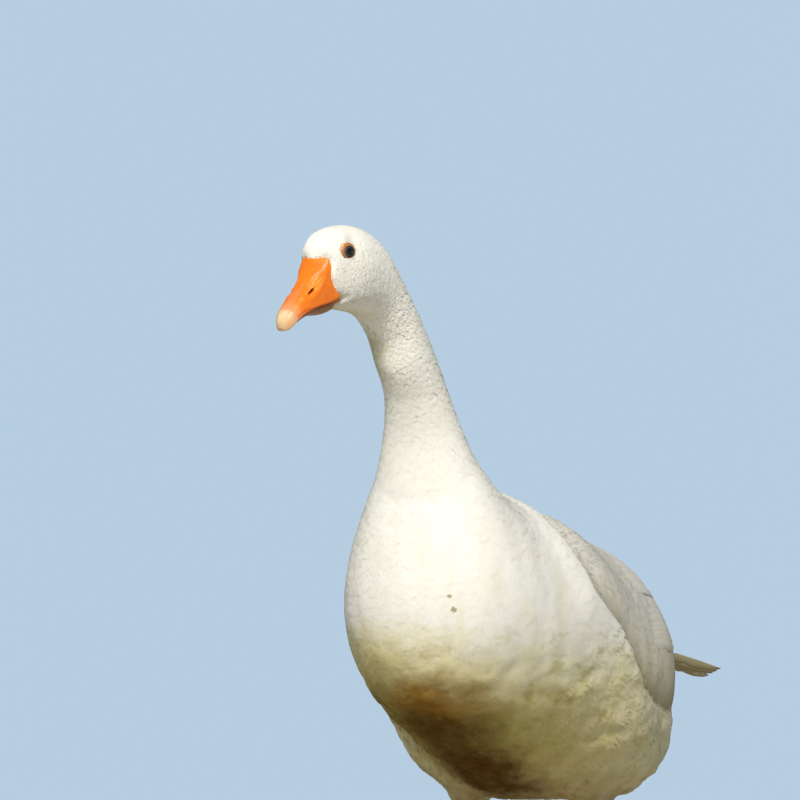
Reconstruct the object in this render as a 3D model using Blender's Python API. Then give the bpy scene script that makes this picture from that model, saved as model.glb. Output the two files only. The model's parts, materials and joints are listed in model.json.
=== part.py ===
"""A white domestic goose standing with its neck up and its head turned a little to its right, life size.

The goose faces -Y, its left side is +X and +Z is up, in metres. It stands on the plane Z = 0.
Tail, trunk, neck and head are one loft over a row of frames. Each frame is a closed rib in the plane through
a point of the back line and a point of the belly line. Thin cuts between frames divide the loft into nodes.
Wings are shells that follow the trunk, and the legs, bill, eyes and claws are solids of their own.
The pieces hang on one empty, which lifts the goose so that its soles touch the floor.
"""

import math

import bpy
import numpy as np
from mathutils import Matrix, Vector

# ---- driving dimensions, in metres and degrees ----
CUT = 0.0006  # width of a cut between two lengths of the body
CLEARANCE = 0.0004  # between pieces that lie against each other
RIB_POINTS = 28

HEAD_YAW = 15.0  # the head's turn to the goose's right
HEAD_PITCH = 23.0  # how far the bill points down
GAPE_Y, GAPE_Z = -0.240, 0.583  # middle of the gape before the head is turned
TURN_AXIS_Y = -0.120  # the neck turns about the upright line here

EYE_RADIUS, EYE_DEPTH = 0.0074, 0.0052  # ball, and how far its centre lies under the skin
EYE_RUN, EYE_ANGLE = -0.0016, 29.0  # from the brow frame towards the bill, and up from the level
NAIL_PLACE, NAIL_GAP = 5.05, 0.045  # where the nail begins, counted in frames of the upper bill
NOSTRIL_AT = (0.0300, 0.0115, 0.0118)  # along, out and up, in the head's measure
NOSTRIL_SIZE = (0.0022, 0.0042, 0.0013)
NOSTRIL_SLOPE = 22.0

WING_THICKNESS, WING_EDGE = 0.0068, 0.0008  # at the shoulder, and at the rim
WRIST_SWEEP = 0.030  # how far the wing's lower front reaches forwards
WING_EDGE_GROWTH = 1500.0  # degrees by which a cutter's outline grows for each metre of clearance
WINGTIP_LEAN = -12.0

LEG_X = 0.058
TOE_BASE_Y, TOE_RADIUS = 0.099, 0.0058
SOLE_DEPTH = 0.86  # height of a toe's middle line over the floor, as a share of its radius
WEB_LOW, WEB_HIGH = 0.0006, 0.0026
CLAW_LENGTH, CLAW_RADIUS = 0.0095, 0.0027
THIGH_END_Z, SHANK_END_Z, ANKLE_END_Z = 0.124, 0.0200, 0.0095

# Frames of the tail, trunk and neck: back line (y, z), belly line (y, z), half width, level of the widest
# point (0 in the middle, below zero nearer the belly) and squareness (2 is an ellipse).
TRUNK_FRAMES = (
    ("tail_tip", (0.3985, 0.2740), (0.3965, 0.2690), 0.0220, 0.00, 2.0),
    ("tail_end", (0.3880, 0.2790), (0.3840, 0.2695), 0.0380, 0.00, 2.2),
    ("tail_fan", (0.3640, 0.2885), (0.3570, 0.2700), 0.0480, 0.00, 2.3),
    ("tail_middle", (0.3360, 0.3000), (0.3260, 0.2710), 0.0530, 0.00, 2.2),
    ("tail_base", (0.3080, 0.3115), (0.2940, 0.2665), 0.0560, 0.00, 2.1),
    ("tail_root", (0.2800, 0.3230), (0.2640, 0.2520), 0.0620, -0.10, 2.0),
    ("vent", (0.2480, 0.3330), (0.2380, 0.2180), 0.0780, -0.22, 2.1),
    ("rump", (0.2120, 0.3465), (0.2020, 0.1720), 0.1000, -0.34, 2.2),
    ("paunch", (0.1650, 0.3620), (0.1500, 0.1370), 0.1200, -0.42, 2.3),
    ("flank", (0.1120, 0.3780), (0.0880, 0.1410), 0.1240, -0.32, 2.1),
    ("middle", (0.0640, 0.3910), (0.0160, 0.1670), 0.1190, -0.04, 1.9),
    ("shoulder", (0.0240, 0.4010), (-0.0530, 0.2030), 0.1080, 0.00, 1.9),
    ("keel", (-0.0060, 0.4090), (-0.1000, 0.2380), 0.0950, 0.00, 1.95),
    ("breast", (-0.0290, 0.4180), (-0.1290, 0.2790), 0.0820, 0.00, 2.0),
    ("crop", (-0.0470, 0.4285), (-0.1370, 0.3230), 0.0690, 0.00, 2.0),
    ("throat_pit", (-0.0610, 0.4400), (-0.1340, 0.3660), 0.0570, 0.00, 2.0),
    ("neck_root", (-0.0730, 0.4540), (-0.1290, 0.4050), 0.0450, 0.00, 2.0),
    ("neck_low", (-0.0860, 0.4750), (-0.1300, 0.4450), 0.0352, 0.00, 2.0),
    ("neck_mid", (-0.1020, 0.5080), (-0.1440, 0.4900), 0.0270, 0.00, 2.0),
    ("neck_high", (-0.1230, 0.5450), (-0.1620, 0.5180), 0.0252, 0.00, 2.0),
)
# Frames of the head, in its own measure: along the bill from the gape, and up from the gape.
HEAD_FRAMES = (
    ("nape_low", (-0.0850, -0.0380), (-0.0490, -0.0690), 0.0250, 0.00, 2.0),
    ("nape", (-0.0805, -0.0180), (-0.0455, -0.0575), 0.0254, 0.00, 2.0),
    ("neck_joint", (-0.0760, -0.0010), (-0.0420, -0.0490), 0.0260, 0.00, 2.0),
    ("hindhead", (-0.0705, 0.0130), (-0.0375, -0.0420), 0.0268, 0.00, 2.1),
    ("occiput", (-0.0630, 0.0250), (-0.0325, -0.0365), 0.0275, -0.03, 2.1),
    ("ear", (-0.0525, 0.0345), (-0.0265, -0.0315), 0.0280, -0.06, 2.2),
    ("crown_back", (-0.0400, 0.0422), (-0.0205, -0.0275), 0.0276, -0.08, 2.3),
    ("crown", (-0.0270, 0.0460), (-0.0145, -0.0240), 0.0263, -0.10, 2.5),
    ("brow", (-0.0150, 0.0466), (-0.0085, -0.0205), 0.0245, -0.12, 2.7),
    ("forehead", (-0.0060, 0.0440), (-0.0050, -0.0175), 0.0225, -0.14, 2.9),
    ("lores", (0.0010, 0.0392), (-0.0022, -0.0148), 0.0200, -0.14, 3.1),
    ("bill_base", (0.0052, 0.0328), (-0.0004, -0.0122), 0.0170, -0.12, 3.6),
)
LENGTHS = (  # node, first and last frame, number of ribs
    ("tail", "tail_tip", "tail_root", 9),
    ("rump", "tail_root", "rump", 5),
    ("trunk", "rump", "keel", 13),
    ("breast", "keel", "neck_root", 10),
    ("neck_lower", "neck_root", "neck_mid", 6),
    ("neck_middle", "neck_mid", "neck_high", 4),
    ("neck_upper", "neck_high", "neck_joint", 5),
    ("head", "neck_joint", "bill_base", 13),
)
# Frames of the upper bill in the head's measure: culmen (along, up), edge (along, up), half width, and
# how square its section is.
UPPER_BILL_FRAMES = (
    ((0.0062, 0.0325), (0.0018, 0.0002), 0.0170, 1.00),
    ((0.0130, 0.0262), (0.0118, 0.0006), 0.0162, 0.90),
    ((0.0230, 0.0199), (0.0228, 0.0008), 0.0149, 0.50),
    ((0.0340, 0.0147), (0.0340, -0.0004), 0.0134, 0.25),
    ((0.0450, 0.0104), (0.0450, -0.0020), 0.0120, 0.15),
    ((0.0535, 0.0070), (0.0535, -0.0040), 0.0108, 0.10),
    ((0.0598, 0.0034), (0.0594, -0.0064), 0.0090, 0.0),
    ((0.0638, -0.0010), (0.0632, -0.0082), 0.0062, 0.0),
    ((0.0658, -0.0052), (0.0652, -0.0084), 0.0027, 0.0),
)
# Frames of the lower bill: edge (along, up), underside (along, up), half width, and squareness.
LOWER_BILL_FRAMES = (
    ((0.0017, -0.0010), (0.0008, -0.0116), 0.0142, 0.0),
    ((0.0118, -0.0009), (0.0122, -0.0110), 0.0130, 0.0),
    ((0.0228, -0.0007), (0.0236, -0.0098), 0.0117, 0.0),
    ((0.0340, -0.0019), (0.0346, -0.0091), 0.0104, 0.0),
    ((0.0450, -0.0036), (0.0454, -0.0096), 0.0092, 0.0),
    ((0.0530, -0.0060), (0.0534, -0.0106), 0.0074, 0.0),
    ((0.0572, -0.0082), (0.0574, -0.0114), 0.0044, 0.0),
)
# Outline of the folded wing: at each frame of the trunk, the angles of its lower and its upper edge.
WING_OUTLINE = (
    ("tail_root", 2.0, 60.0),
    ("vent", 0.0, 72.0),
    ("rump", 3.0, 80.0),
    ("paunch", 4.0, 83.0),
    ("flank", 3.0, 84.0),
    ("middle", 11.0, 84.0),
    ("shoulder", 22.0, 82.0),
    ("keel", 40.0, 80.0),
)
# Line of the wing's tip beside the rump: x, y, z, half height and half depth.
WINGTIP_LINE = (
    (0.098, 0.190, 0.2660, 0.0140, 0.0060),
    (0.100, 0.215, 0.2625, 0.0130, 0.0053),
    (0.099, 0.245, 0.2585, 0.0110, 0.0044),
    (0.097, 0.275, 0.2545, 0.0090, 0.0036),
    (0.0945, 0.305, 0.2500, 0.0068, 0.0026),
    (0.092, 0.330, 0.2458, 0.0045, 0.0020),
    (0.090, 0.3455, 0.2430, 0.0024, 0.0013),
)
# Line of a leg: y, z, half depth and half width, from inside the flank to the foot.
LEG_LINE = (
    (0.106, 0.215, 0.0590, 0.0345),
    (0.119, 0.180, 0.0560, 0.0305),
    (0.126, 0.152, 0.0380, 0.0245),
    (0.129, 0.130, 0.0160, 0.0135),
    (0.132, 0.116, 0.0112, 0.0098),
    (0.130, 0.100, 0.0086, 0.0074),
    (0.120, 0.068, 0.0068, 0.0056),
    (0.109, 0.034, 0.0072, 0.0060),
    (0.103, 0.018, 0.0088, 0.0080),
    (0.100, 0.009, 0.0090, 0.0084),
)
TOES = (  # name, length, angle outwards
    ("inner", 0.064, -27.0),
    ("middle", 0.084, 2.0),
    ("outer", 0.075, 29.0),
)
# Knuckles of a toe: share of its length, and its radius as a share of the base's.
TOE_SHAPE = ((0.0, 1.15), (0.25, 0.92), (0.38, 1.06), (0.56, 0.80), (0.70, 0.88), (0.88, 0.70), (1.0, 0.47))
HIND_TOE_WAY = (-0.35, 1.0)
HIND_TOE_LINE = (  # reach, height and radius
    (0.000, 0.0120, 0.0048),
    (0.008, 0.0095, 0.0040),
    (0.014, 0.0080, 0.0034),
    (0.019, 0.0072, 0.0027),
)

COLOURS = {  # base colour and roughness
    "feather": ((0.86, 0.84, 0.78), 0.75),
    "bill": ((0.85, 0.27, 0.03), 0.42),
    "nail": ((0.80, 0.66, 0.45), 0.40),
    "eye": ((0.05, 0.08, 0.13), 0.08),
    "leg": ((0.80, 0.28, 0.05), 0.55),
    "claw": ((0.60, 0.50, 0.38), 0.45),
}


def clear_scene():
    for obj in list(bpy.data.objects):
        bpy.data.objects.remove(obj, do_unlink=True)


# ---- looks and meshes ----


def material_for(node, finish):
    """A material of the node's own, in one of the goose's finishes."""
    colour, roughness = COLOURS[finish]
    made = bpy.data.materials.new(node)
    made.use_nodes = True
    shader = made.node_tree.nodes["Principled BSDF"]
    shader.inputs["Base Color"].default_value = (*colour, 1.0)
    shader.inputs["Roughness"].default_value = roughness
    shader.inputs["Metallic"].default_value = 0.0
    return made


def add_object(name, points, faces, finish):
    mesh = bpy.data.meshes.new(name)
    mesh.from_pydata([tuple(map(float, p)) for p in points], [], faces)
    mesh.materials.append(material_for(name, finish))
    obj = bpy.data.objects.new(name, mesh)
    bpy.context.scene.collection.objects.link(obj)
    return face_outwards(obj)


def face_outwards(obj):
    """Turns the mesh's faces round if it is inside out, and shades it smooth."""
    points = np.array([v.co for v in obj.data.vertices])
    obj.data.calc_loop_triangles()
    corners = np.array([t.vertices for t in obj.data.loop_triangles])
    if np.linalg.det(points[corners]).sum() < 0:
        obj.data.flip_normals()
    obj.data.shade_smooth()
    obj.data.set_sharp_from_angle(angle=math.radians(50))
    return obj


def ring_solid(name, rings, finish):
    """A closed solid through rings of the same number of points, with a flat end at each end ring."""
    count = len(rings[0])
    faces = []
    for i in range(len(rings) - 1):
        for j in range(count):
            a, b = i * count + j, i * count + (j + 1) % count
            faces.append((a, b, b + count))
            faces.append((a, b + count, a + count))
    last = (len(rings) - 1) * count
    faces.append(tuple(reversed(range(count))))
    faces.append(tuple(range(last, last + count)))
    return add_object(name, np.concatenate(rings), faces, finish)


def shell_solid(name, outer, inner, finish):
    """A closed shell between two grids of points of the same size."""
    rows, columns = outer.shape[:2]
    size = rows * columns
    faces = []
    for i in range(rows - 1):
        for j in range(columns - 1):
            a, b = i * columns + j, i * columns + j + 1
            c, d = b + columns, a + columns
            faces.append((a, b, c, d))
            faces.append((d + size, c + size, b + size, a + size))
    rim = list(range(columns))
    rim += [i * columns + columns - 1 for i in range(1, rows)]
    rim += [(rows - 1) * columns + j for j in range(columns - 2, -1, -1)]
    rim += [i * columns for i in range(rows - 2, 0, -1)]
    for a, b in zip(rim, rim[1:] + rim[:1]):
        faces.append((b, a, a + size, b + size))
    points = np.concatenate([outer.reshape(-1, 3), inner.reshape(-1, 3)])
    return add_object(name, points, faces, finish)


def combine(target, other, operation):
    """Applies one Boolean to the target and removes the other object."""
    change = target.modifiers.new(operation.lower(), "BOOLEAN")
    change.operation = operation
    change.solver = "EXACT"
    change.object = other
    graph = bpy.context.evaluated_depsgraph_get()
    made = bpy.data.meshes.new_from_object(target.evaluated_get(graph))
    target.modifiers.clear()
    target.data = made
    bpy.data.objects.remove(other, do_unlink=True)
    return target


def on_side(obj, side):
    """A piece made for the left side, mirrored if it belongs to the right."""
    if side == "right":
        obj.data.transform(Matrix.Scale(-1, 4, (1, 0, 0)))
        face_outwards(obj)
    return obj


def circle(count):
    return np.linspace(0, 2 * math.pi, count, endpoint=False)


# ---- the loft of tail, trunk, neck and head ----


def smooth_curve(knots, values, at):
    """Values read from a smooth curve that passes through every knot and never overshoots."""
    knots, values = np.asarray(knots, float), np.asarray(values, float)
    step = np.diff(knots)
    slope = np.diff(values) / step
    same_way = slope[:-1] * slope[1:] > 0
    before, after = 2 * step[1:] + step[:-1], step[1:] + 2 * step[:-1]
    first, second = np.where(same_way, slope[:-1], 1.0), np.where(same_way, slope[1:], 1.0)
    tangent = np.concatenate([slope[:1], np.zeros(len(knots) - 2), slope[-1:]])
    tangent[1:-1] = np.where(same_way, (before + after) / (before / first + after / second), 0.0)
    place = np.clip(np.searchsorted(knots, at, side="right") - 1, 0, len(step) - 1)
    rise = step[place]
    s = (np.asarray(at, float) - knots[place]) / rise
    return (
        (1 + 2 * s) * (1 - s) ** 2 * values[place]
        + s * (1 - s) ** 2 * rise * tangent[place]
        + s**2 * (3 - 2 * s) * values[place + 1]
        + s**2 * (s - 1) * rise * tangent[place + 1]
    )


def head_to_body(along, up):
    """(y, z) of a point that is given in the head's own measure, before the head is turned."""
    pitch = math.radians(HEAD_PITCH)
    y = GAPE_Y - along * math.cos(pitch) - up * math.sin(pitch)
    z = GAPE_Z - along * math.sin(pitch) + up * math.cos(pitch)
    return y, z


def turned(points, share):
    """Points turned to the goose's right about the neck's upright line, by a share of the head's yaw."""
    angle = -math.radians(HEAD_YAW) * share
    c, s = math.cos(angle), math.sin(angle)
    x, y = points[:, 0], points[:, 1] - TURN_AXIS_Y
    return np.stack([x * c - y * s, TURN_AXIS_Y + x * s + y * c, points[:, 2]], 1)


class Loft:
    """The body's surface. A run is a distance along its middle line, from the tail's tip to the bill."""

    def __init__(self):
        head = [
            (name, head_to_body(*back), head_to_body(*belly), *rest)
            for name, back, belly, *rest in HEAD_FRAMES
        ]
        frames = [*TRUNK_FRAMES, *head]
        self.names = [frame[0] for frame in frames]
        self.table = np.array([[*back, *belly, *rest] for _, back, belly, *rest in frames])
        middle = (self.table[:, 0:2] + self.table[:, 2:4]) / 2
        self.runs = np.concatenate([[0], np.cumsum(np.linalg.norm(np.diff(middle, axis=0), axis=1))])

    def station(self, name):
        """The run of a named frame."""
        return self.runs[self.names.index(name)]

    def turn_share(self, run):
        """How much of the head's turn the neck has taken up at this run."""
        start, end = self.station("neck_low"), self.station("neck_joint")
        share = np.clip((run - start) / (end - start), 0, 1)
        return share * share * (3 - 2 * share)

    def rib(self, run, angles, outwards=0.0):
        """Points of the rib at this run, for angles from -90 at the belly through 0 at the left to 90."""
        values = [float(smooth_curve(self.runs, column, run)) for column in self.table.T]
        back, belly = np.array(values[0:2]), np.array(values[2:4])
        width, level, square = values[4:7]
        height = np.linalg.norm(back - belly)
        up = (back - belly) / height
        c, s = np.cos(angles), np.sin(angles)
        side = (width + outwards) * np.sign(c) * np.abs(c) ** (2 / square)
        rise = np.sign(s) * np.abs(s) ** (2 / square)
        rise = (height / 2 + outwards) * (rise + level * (1 - rise**2))
        middle = (back + belly) / 2
        points = np.stack([side, middle[0] + rise * up[0], middle[1] + rise * up[1]], 1)
        return turned(points, self.turn_share(run))

    def point(self, run, angle, outwards):
        """One point, moved out along the surface's normal."""
        here = self.rib(run, np.array([angle, angle + 0.01, angle + math.pi]))
        ahead = self.rib(run + 0.0008, np.array([angle]))[0]
        normal = np.cross(here[1] - here[0], ahead - here[0])
        normal /= np.linalg.norm(normal)
        if normal @ (here[0] - here[2]) < 0:
            normal = -normal
        return here[0] + outwards * normal

    def length_runs(self, name, start, end, count):
        """Runs of the ribs of one length of the body, which leaves half a cut at each end it shares."""
        first = self.station(start) + (CUT / 2 if name != "tail" else 0)
        last = self.station(end) - (CUT / 2 if name != "head" else 0)
        return np.linspace(first, last, count)


def body_lengths(loft):
    """Tail, rump, trunk, breast, three lengths of neck and the head, divided by thin cuts."""
    for length in LENGTHS:
        rings = [loft.rib(run, circle(RIB_POINTS)) for run in loft.length_runs(*length)]
        ring_solid(length[0], rings, "feather")


def inflated_body(loft):
    """Tail, rump, trunk and breast grown by the clearance, to cut what lies against them."""
    runs = np.concatenate([loft.length_runs(*length) for length in LENGTHS[:4]])
    rings = [loft.rib(run, circle(RIB_POINTS), CLEARANCE) for run in runs]
    return ring_solid("body_cutter", rings, "feather")


# ---- wings ----


def wing_shell(loft, name, grow=0.0):
    """The left wing folded on flank and back. Grown by a clearance it is a cutter."""
    stops = [loft.station(frame) for frame, _, _ in WING_OUTLINE]
    front, rear = loft.station("shoulder") + 0.012, loft.station("vent") - 0.010
    rows, columns = 16, 9
    outer, inner = np.zeros((rows, columns, 3)), np.zeros((rows, columns, 3))
    for i, u in enumerate(np.linspace(0, 1, rows)):
        for j, v in enumerate(np.linspace(0, 1, columns)):
            start = front + grow - WRIST_SWEEP * 5 * max(0.0, 0.45 - v) ** 2
            run = start + u * (rear - grow - start)
            low = float(smooth_curve(stops, [row[1] for row in WING_OUTLINE], run)) - WING_EDGE_GROWTH * grow
            high = float(smooth_curve(stops, [row[2] for row in WING_OUTLINE], run)) + WING_EDGE_GROWTH * grow
            angle = math.radians(low + v * (high - low))
            fullness = min(1.0, 5 * u + 0.10) * min(1.0, 4 * (1 - u) + 0.30)
            fullness *= min(1.0, 5 * v + 0.14) * min(1.0, 4 * (1 - v) + 0.20)
            outer[i, j] = loft.point(run, angle, CLEARANCE + WING_EDGE + WING_THICKNESS * fullness + grow)
            inner[i, j] = loft.point(run, angle, -WING_THICKNESS)
    return shell_solid(name, outer, inner, "feather")


def wingtip_rings():
    """Rings of the wing's long feathers, a blade that leans with the body's side."""
    lean = math.radians(WINGTIP_LEAN)
    angles = circle(12)
    rings = []
    for x, y, z, height, depth in WINGTIP_LINE:
        across, rise = depth * np.cos(angles), height * np.sin(angles)
        side = x + across * math.cos(lean) - rise * math.sin(lean)
        up = z + across * math.sin(lean) + rise * math.cos(lean)
        rings.append(np.stack([side, np.full(len(angles), y), up], 1))
    return rings


def wing(loft, side):
    """The folded wing of one side, "left" or "right", and its tip."""
    shell = on_side(wing_shell(loft, "wing_" + side), side)
    combine(shell, inflated_body(loft), "DIFFERENCE")
    tip = on_side(ring_solid("wingtip_" + side, wingtip_rings(), "feather"), side)
    combine(tip, inflated_body(loft), "DIFFERENCE")
    combine(tip, on_side(wing_shell(loft, "wing_cutter", CLEARANCE), side), "DIFFERENCE")


# ---- legs ----


def leg_rings(first_z, last_z, count, points=12):
    """Rings of the left leg between two heights on its line, square to the line."""
    line = np.array(LEG_LINE)
    run = np.concatenate([[0], np.cumsum(np.linalg.norm(np.diff(line[:, :2], axis=0), axis=1))])
    fine = np.linspace(0, run[-1], 600)
    table = np.stack([smooth_curve(run, column, fine) for column in line.T], 1)
    ahead = np.gradient(table[:, :2], axis=0)
    ahead /= np.linalg.norm(ahead, axis=1)[:, None]
    start = np.argmin(abs(table[:, 1] - first_z))
    end = np.argmin(abs(table[:, 1] - last_z))
    angles = circle(points)
    rings = []
    for k in np.linspace(start, end, count).round().astype(int):
        y, z, depth, width = table[k]
        d = depth * np.sin(angles)
        rings.append(np.stack([LEG_X + width * np.cos(angles), y + d * ahead[k, 1], z - d * ahead[k, 0]], 1))
    return rings


def toe_way(turn):
    """The level way of a toe that is turned outwards by this angle, as (x, y)."""
    return np.array([math.sin(math.radians(turn)), -math.cos(math.radians(turn))])


def rod_ring(way, reach, height, radius, count=8):
    """A ring of a toe or claw, square to its way, and flat where it would go under the floor."""
    angles = circle(count) + math.pi / count
    x = LEG_X + way[0] * reach - way[1] * radius * np.cos(angles)
    y = TOE_BASE_Y + way[1] * reach + way[0] * radius * np.cos(angles)
    return np.stack([x, y, np.maximum(height + radius * np.sin(angles), 0.0)], 1)


def web(first, second):
    """The skin between two toes. Its front edge is drawn in between the claws."""
    (_, length_a, turn_a), (_, length_b, turn_b) = first, second
    size = 5
    top = np.zeros((size, size, 3))
    for i, t in enumerate(np.linspace(0.10, 0.93, size)):
        for j, s in enumerate(np.linspace(0, 1, size)):
            a, b = toe_way(turn_a) * length_a * t, toe_way(turn_b) * length_b * t
            at = (a * (1 - s) + b * s) * (1 - 0.56 * s * (1 - s) * t * t)
            top[i, j] = (LEG_X + at[0], TOE_BASE_Y + at[1], WEB_HIGH)
    low = top.copy()
    low[:, :, 2] = WEB_LOW
    return shell_solid("web", top, low, "leg")


def foot(name):
    """The left foot: the ankle, three toes joined by a web, and a raised hind toe."""
    solid = ring_solid(name, leg_rings(SHANK_END_Z - CUT, ANKLE_END_Z, 4), "leg")
    for _, length, turn in TOES:
        rings = []
        for share, size in TOE_SHAPE:
            radius = TOE_RADIUS * size
            rings.append(rod_ring(toe_way(turn), share * length, radius * SOLE_DEPTH, radius))
        combine(solid, ring_solid("toe", rings, "leg"), "UNION")
    for first, second in zip(TOES, TOES[1:]):
        combine(solid, web(first, second), "UNION")
    way = np.array(HIND_TOE_WAY) / np.linalg.norm(HIND_TOE_WAY)
    hind = [rod_ring(way, reach, height, radius) for reach, height, radius in HIND_TOE_LINE]
    return combine(solid, ring_solid("hind_toe", hind, "leg"), "UNION")


def claw(name, way, reach, height, drop):
    """A claw that runs on from the end of a toe and bends down."""
    rings = []
    for t in (0.0, 0.35, 0.7, 0.94):
        radius = CLAW_RADIUS * (1 - 0.86 * t**1.3)
        rings.append(rod_ring(way, reach + CUT + CLAW_LENGTH * t, height - drop * t * t, radius))
    return ring_solid(name, rings, "claw")


def leg(loft, side):
    """Thigh, shank, foot and four claws of one side, "left" or "right"."""
    thigh = ring_solid("thigh_" + side, leg_rings(LEG_LINE[0][1], THIGH_END_Z, 8, 16), "feather")
    combine(on_side(thigh, side), inflated_body(loft), "DIFFERENCE")
    made = [ring_solid("shank_" + side, leg_rings(THIGH_END_Z - CUT, SHANK_END_Z, 10), "leg")]
    made.append(foot("foot_" + side))
    for toe, length, turn in TOES:
        height = CLAW_RADIUS + 0.0003
        made.append(claw(f"claw_{toe}_{side}", toe_way(turn), length, height, 0.0014))
    way = np.array(HIND_TOE_WAY) / np.linalg.norm(HIND_TOE_WAY)
    reach, height, _ = HIND_TOE_LINE[-1]
    made.append(claw("claw_hind_" + side, way, reach, height, 0.0030))
    for obj in made:
        on_side(obj, side)


# ---- bill and eyes ----


def bill_ring(frame, floor, count=16):
    """A ring of one half of the bill. floor is the depth of its lower side as a share of its upper's."""
    (top_along, top_up), (low_along, low_up), width, square = frame
    angles = circle(count)
    c, s = np.cos(angles), np.sin(angles)
    rise = np.where(s > 0, np.abs(s) ** (0.95 - 0.42 * square), -floor * np.abs(s) ** 0.9)
    share = (rise + floor) / (1 + floor)
    side = width * np.sign(c) * np.abs(c) ** (0.66 - 0.20 * square) * (1 - 0.10 * square * share)
    y, z = head_to_body(low_along + (top_along - low_along) * share, low_up + (top_up - low_up) * share)
    return turned(np.stack([side, y, z], 1), 1.0)


def bill_part(name, frames, first, last, count, floor, finish):
    """A solid between two places along a table of the bill's frames."""
    rows = np.array([[*top, *low, *rest] for top, low, *rest in frames])
    rings = []
    for place in np.linspace(first, last, count):
        at = [float(smooth_curve(range(len(rows)), column, place)) for column in rows.T]
        rings.append(bill_ring(((at[0], at[1]), (at[2], at[3]), at[4], at[5]), floor))
    return ring_solid(name, rings, finish)


def bill():
    """Upper bill with its nostrils, its nail, and the lower bill."""
    end = len(UPPER_BILL_FRAMES) - 1
    upper = bill_part("bill_upper", UPPER_BILL_FRAMES, 0, NAIL_PLACE, 10, 0.10, "bill")
    bill_part("bill_nail", UPPER_BILL_FRAMES, NAIL_PLACE + NAIL_GAP, end, 6, 0.10, "nail")
    bill_part("bill_lower", LOWER_BILL_FRAMES, 0, len(LOWER_BILL_FRAMES) - 1, 8, 3.0, "bill")
    along, out, up = NOSTRIL_AT
    y, z = head_to_body(along, up)
    for side in (-1, 1):
        bpy.ops.mesh.primitive_uv_sphere_add(segments=8, ring_count=6, radius=1.0)
        hollow = bpy.context.active_object
        hollow.location = turned(np.array([[side * out, y, z]]), 1.0)[0]
        hollow.rotation_euler = (math.radians(HEAD_PITCH + NOSTRIL_SLOPE), 0, -math.radians(HEAD_YAW))
        hollow.scale = NOSTRIL_SIZE
        combine(upper, hollow, "DIFFERENCE")


def ball(name, centre, radius):
    bpy.ops.mesh.primitive_uv_sphere_add(segments=14, ring_count=9, radius=radius, location=centre)
    made = bpy.context.active_object
    made.name = made.data.name = name
    made.data.materials.append(material_for(name, "eye"))
    made.data.shade_smooth()
    return made


def eyes(loft):
    """The eyeballs, each in a round socket of the head."""
    run = loft.station("brow") + EYE_RUN
    for name, angle in (("eye_left", EYE_ANGLE), ("eye_right", 180 - EYE_ANGLE)):
        centre = loft.point(run, math.radians(angle), -EYE_DEPTH)
        combine(bpy.data.objects["head"], ball("socket", centre, EYE_RADIUS + CLEARANCE), "DIFFERENCE")
        ball(name, centre, EYE_RADIUS)


def rest_on_floor():
    """Hangs all pieces on one empty, with the soles at Z = 0 and the middle of the box over the origin."""
    bpy.context.view_layer.update()
    pieces = list(bpy.data.objects)
    points = np.concatenate([[obj.matrix_world @ v.co for v in obj.data.vertices] for obj in pieces])
    low, high = points.min(axis=0), points.max(axis=0)
    goose = bpy.data.objects.new("goose", None)
    bpy.context.scene.collection.objects.link(goose)
    goose.location = Vector((-(low[0] + high[0]) / 2, -(low[1] + high[1]) / 2, -low[2]))
    for obj in pieces:
        obj.parent = goose


def main():
    clear_scene()
    loft = Loft()
    body_lengths(loft)
    bill()
    eyes(loft)
    for side in ("left", "right"):
        wing(loft, side)
        leg(loft, side)
    rest_on_floor()


main()
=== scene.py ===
# %% [markdown]
# # A white farm goose, life size
# The frame holds the goose as plain solids, cut into named parts at their real size. This lesson dresses
# them. One skin replaces the parts of flesh, and a coat of small feathers lies on it. Quill feathers make
# the wings and tail, and the bill, eyes, legs and claws get finer shapes and finishes. The goose stands
# still, so every piece rides on the one body, "root".

# %% Load the frame
import json
import math

import bmesh
import bpy
import numpy as np
from mathutils import Matrix, Vector, noise
from mathutils.bvhtree import BVHTree
from mathutils.kdtree import KDTree

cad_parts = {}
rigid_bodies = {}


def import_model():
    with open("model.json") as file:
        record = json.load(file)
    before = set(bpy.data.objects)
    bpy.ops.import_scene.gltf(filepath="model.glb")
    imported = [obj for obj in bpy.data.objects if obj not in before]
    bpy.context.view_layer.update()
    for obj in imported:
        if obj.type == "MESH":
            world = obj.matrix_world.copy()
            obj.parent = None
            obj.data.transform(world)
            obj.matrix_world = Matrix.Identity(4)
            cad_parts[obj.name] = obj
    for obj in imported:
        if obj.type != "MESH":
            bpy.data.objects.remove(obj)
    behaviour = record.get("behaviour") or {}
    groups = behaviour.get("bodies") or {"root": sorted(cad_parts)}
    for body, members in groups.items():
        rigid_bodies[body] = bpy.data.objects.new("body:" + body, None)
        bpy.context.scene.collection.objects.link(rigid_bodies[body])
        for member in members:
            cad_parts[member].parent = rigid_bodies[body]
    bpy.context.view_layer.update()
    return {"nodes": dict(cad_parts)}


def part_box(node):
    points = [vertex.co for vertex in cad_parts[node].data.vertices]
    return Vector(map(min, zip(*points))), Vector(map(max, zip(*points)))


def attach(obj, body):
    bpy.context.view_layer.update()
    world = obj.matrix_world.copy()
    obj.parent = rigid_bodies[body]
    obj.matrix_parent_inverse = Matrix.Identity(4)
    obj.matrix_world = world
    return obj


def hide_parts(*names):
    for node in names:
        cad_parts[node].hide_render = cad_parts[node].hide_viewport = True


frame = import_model()
nodes = frame["nodes"]
print("frame", len(nodes), "nodes")

# %% [markdown]
# ## Sums written as sums
# Materials and Geometry Nodes are both trees of nodes. A small class wraps an output socket so that Python's
# operators add the nodes. `a * 2 + b` then reads like the sum that it is, and a tree fits on a page.


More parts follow.
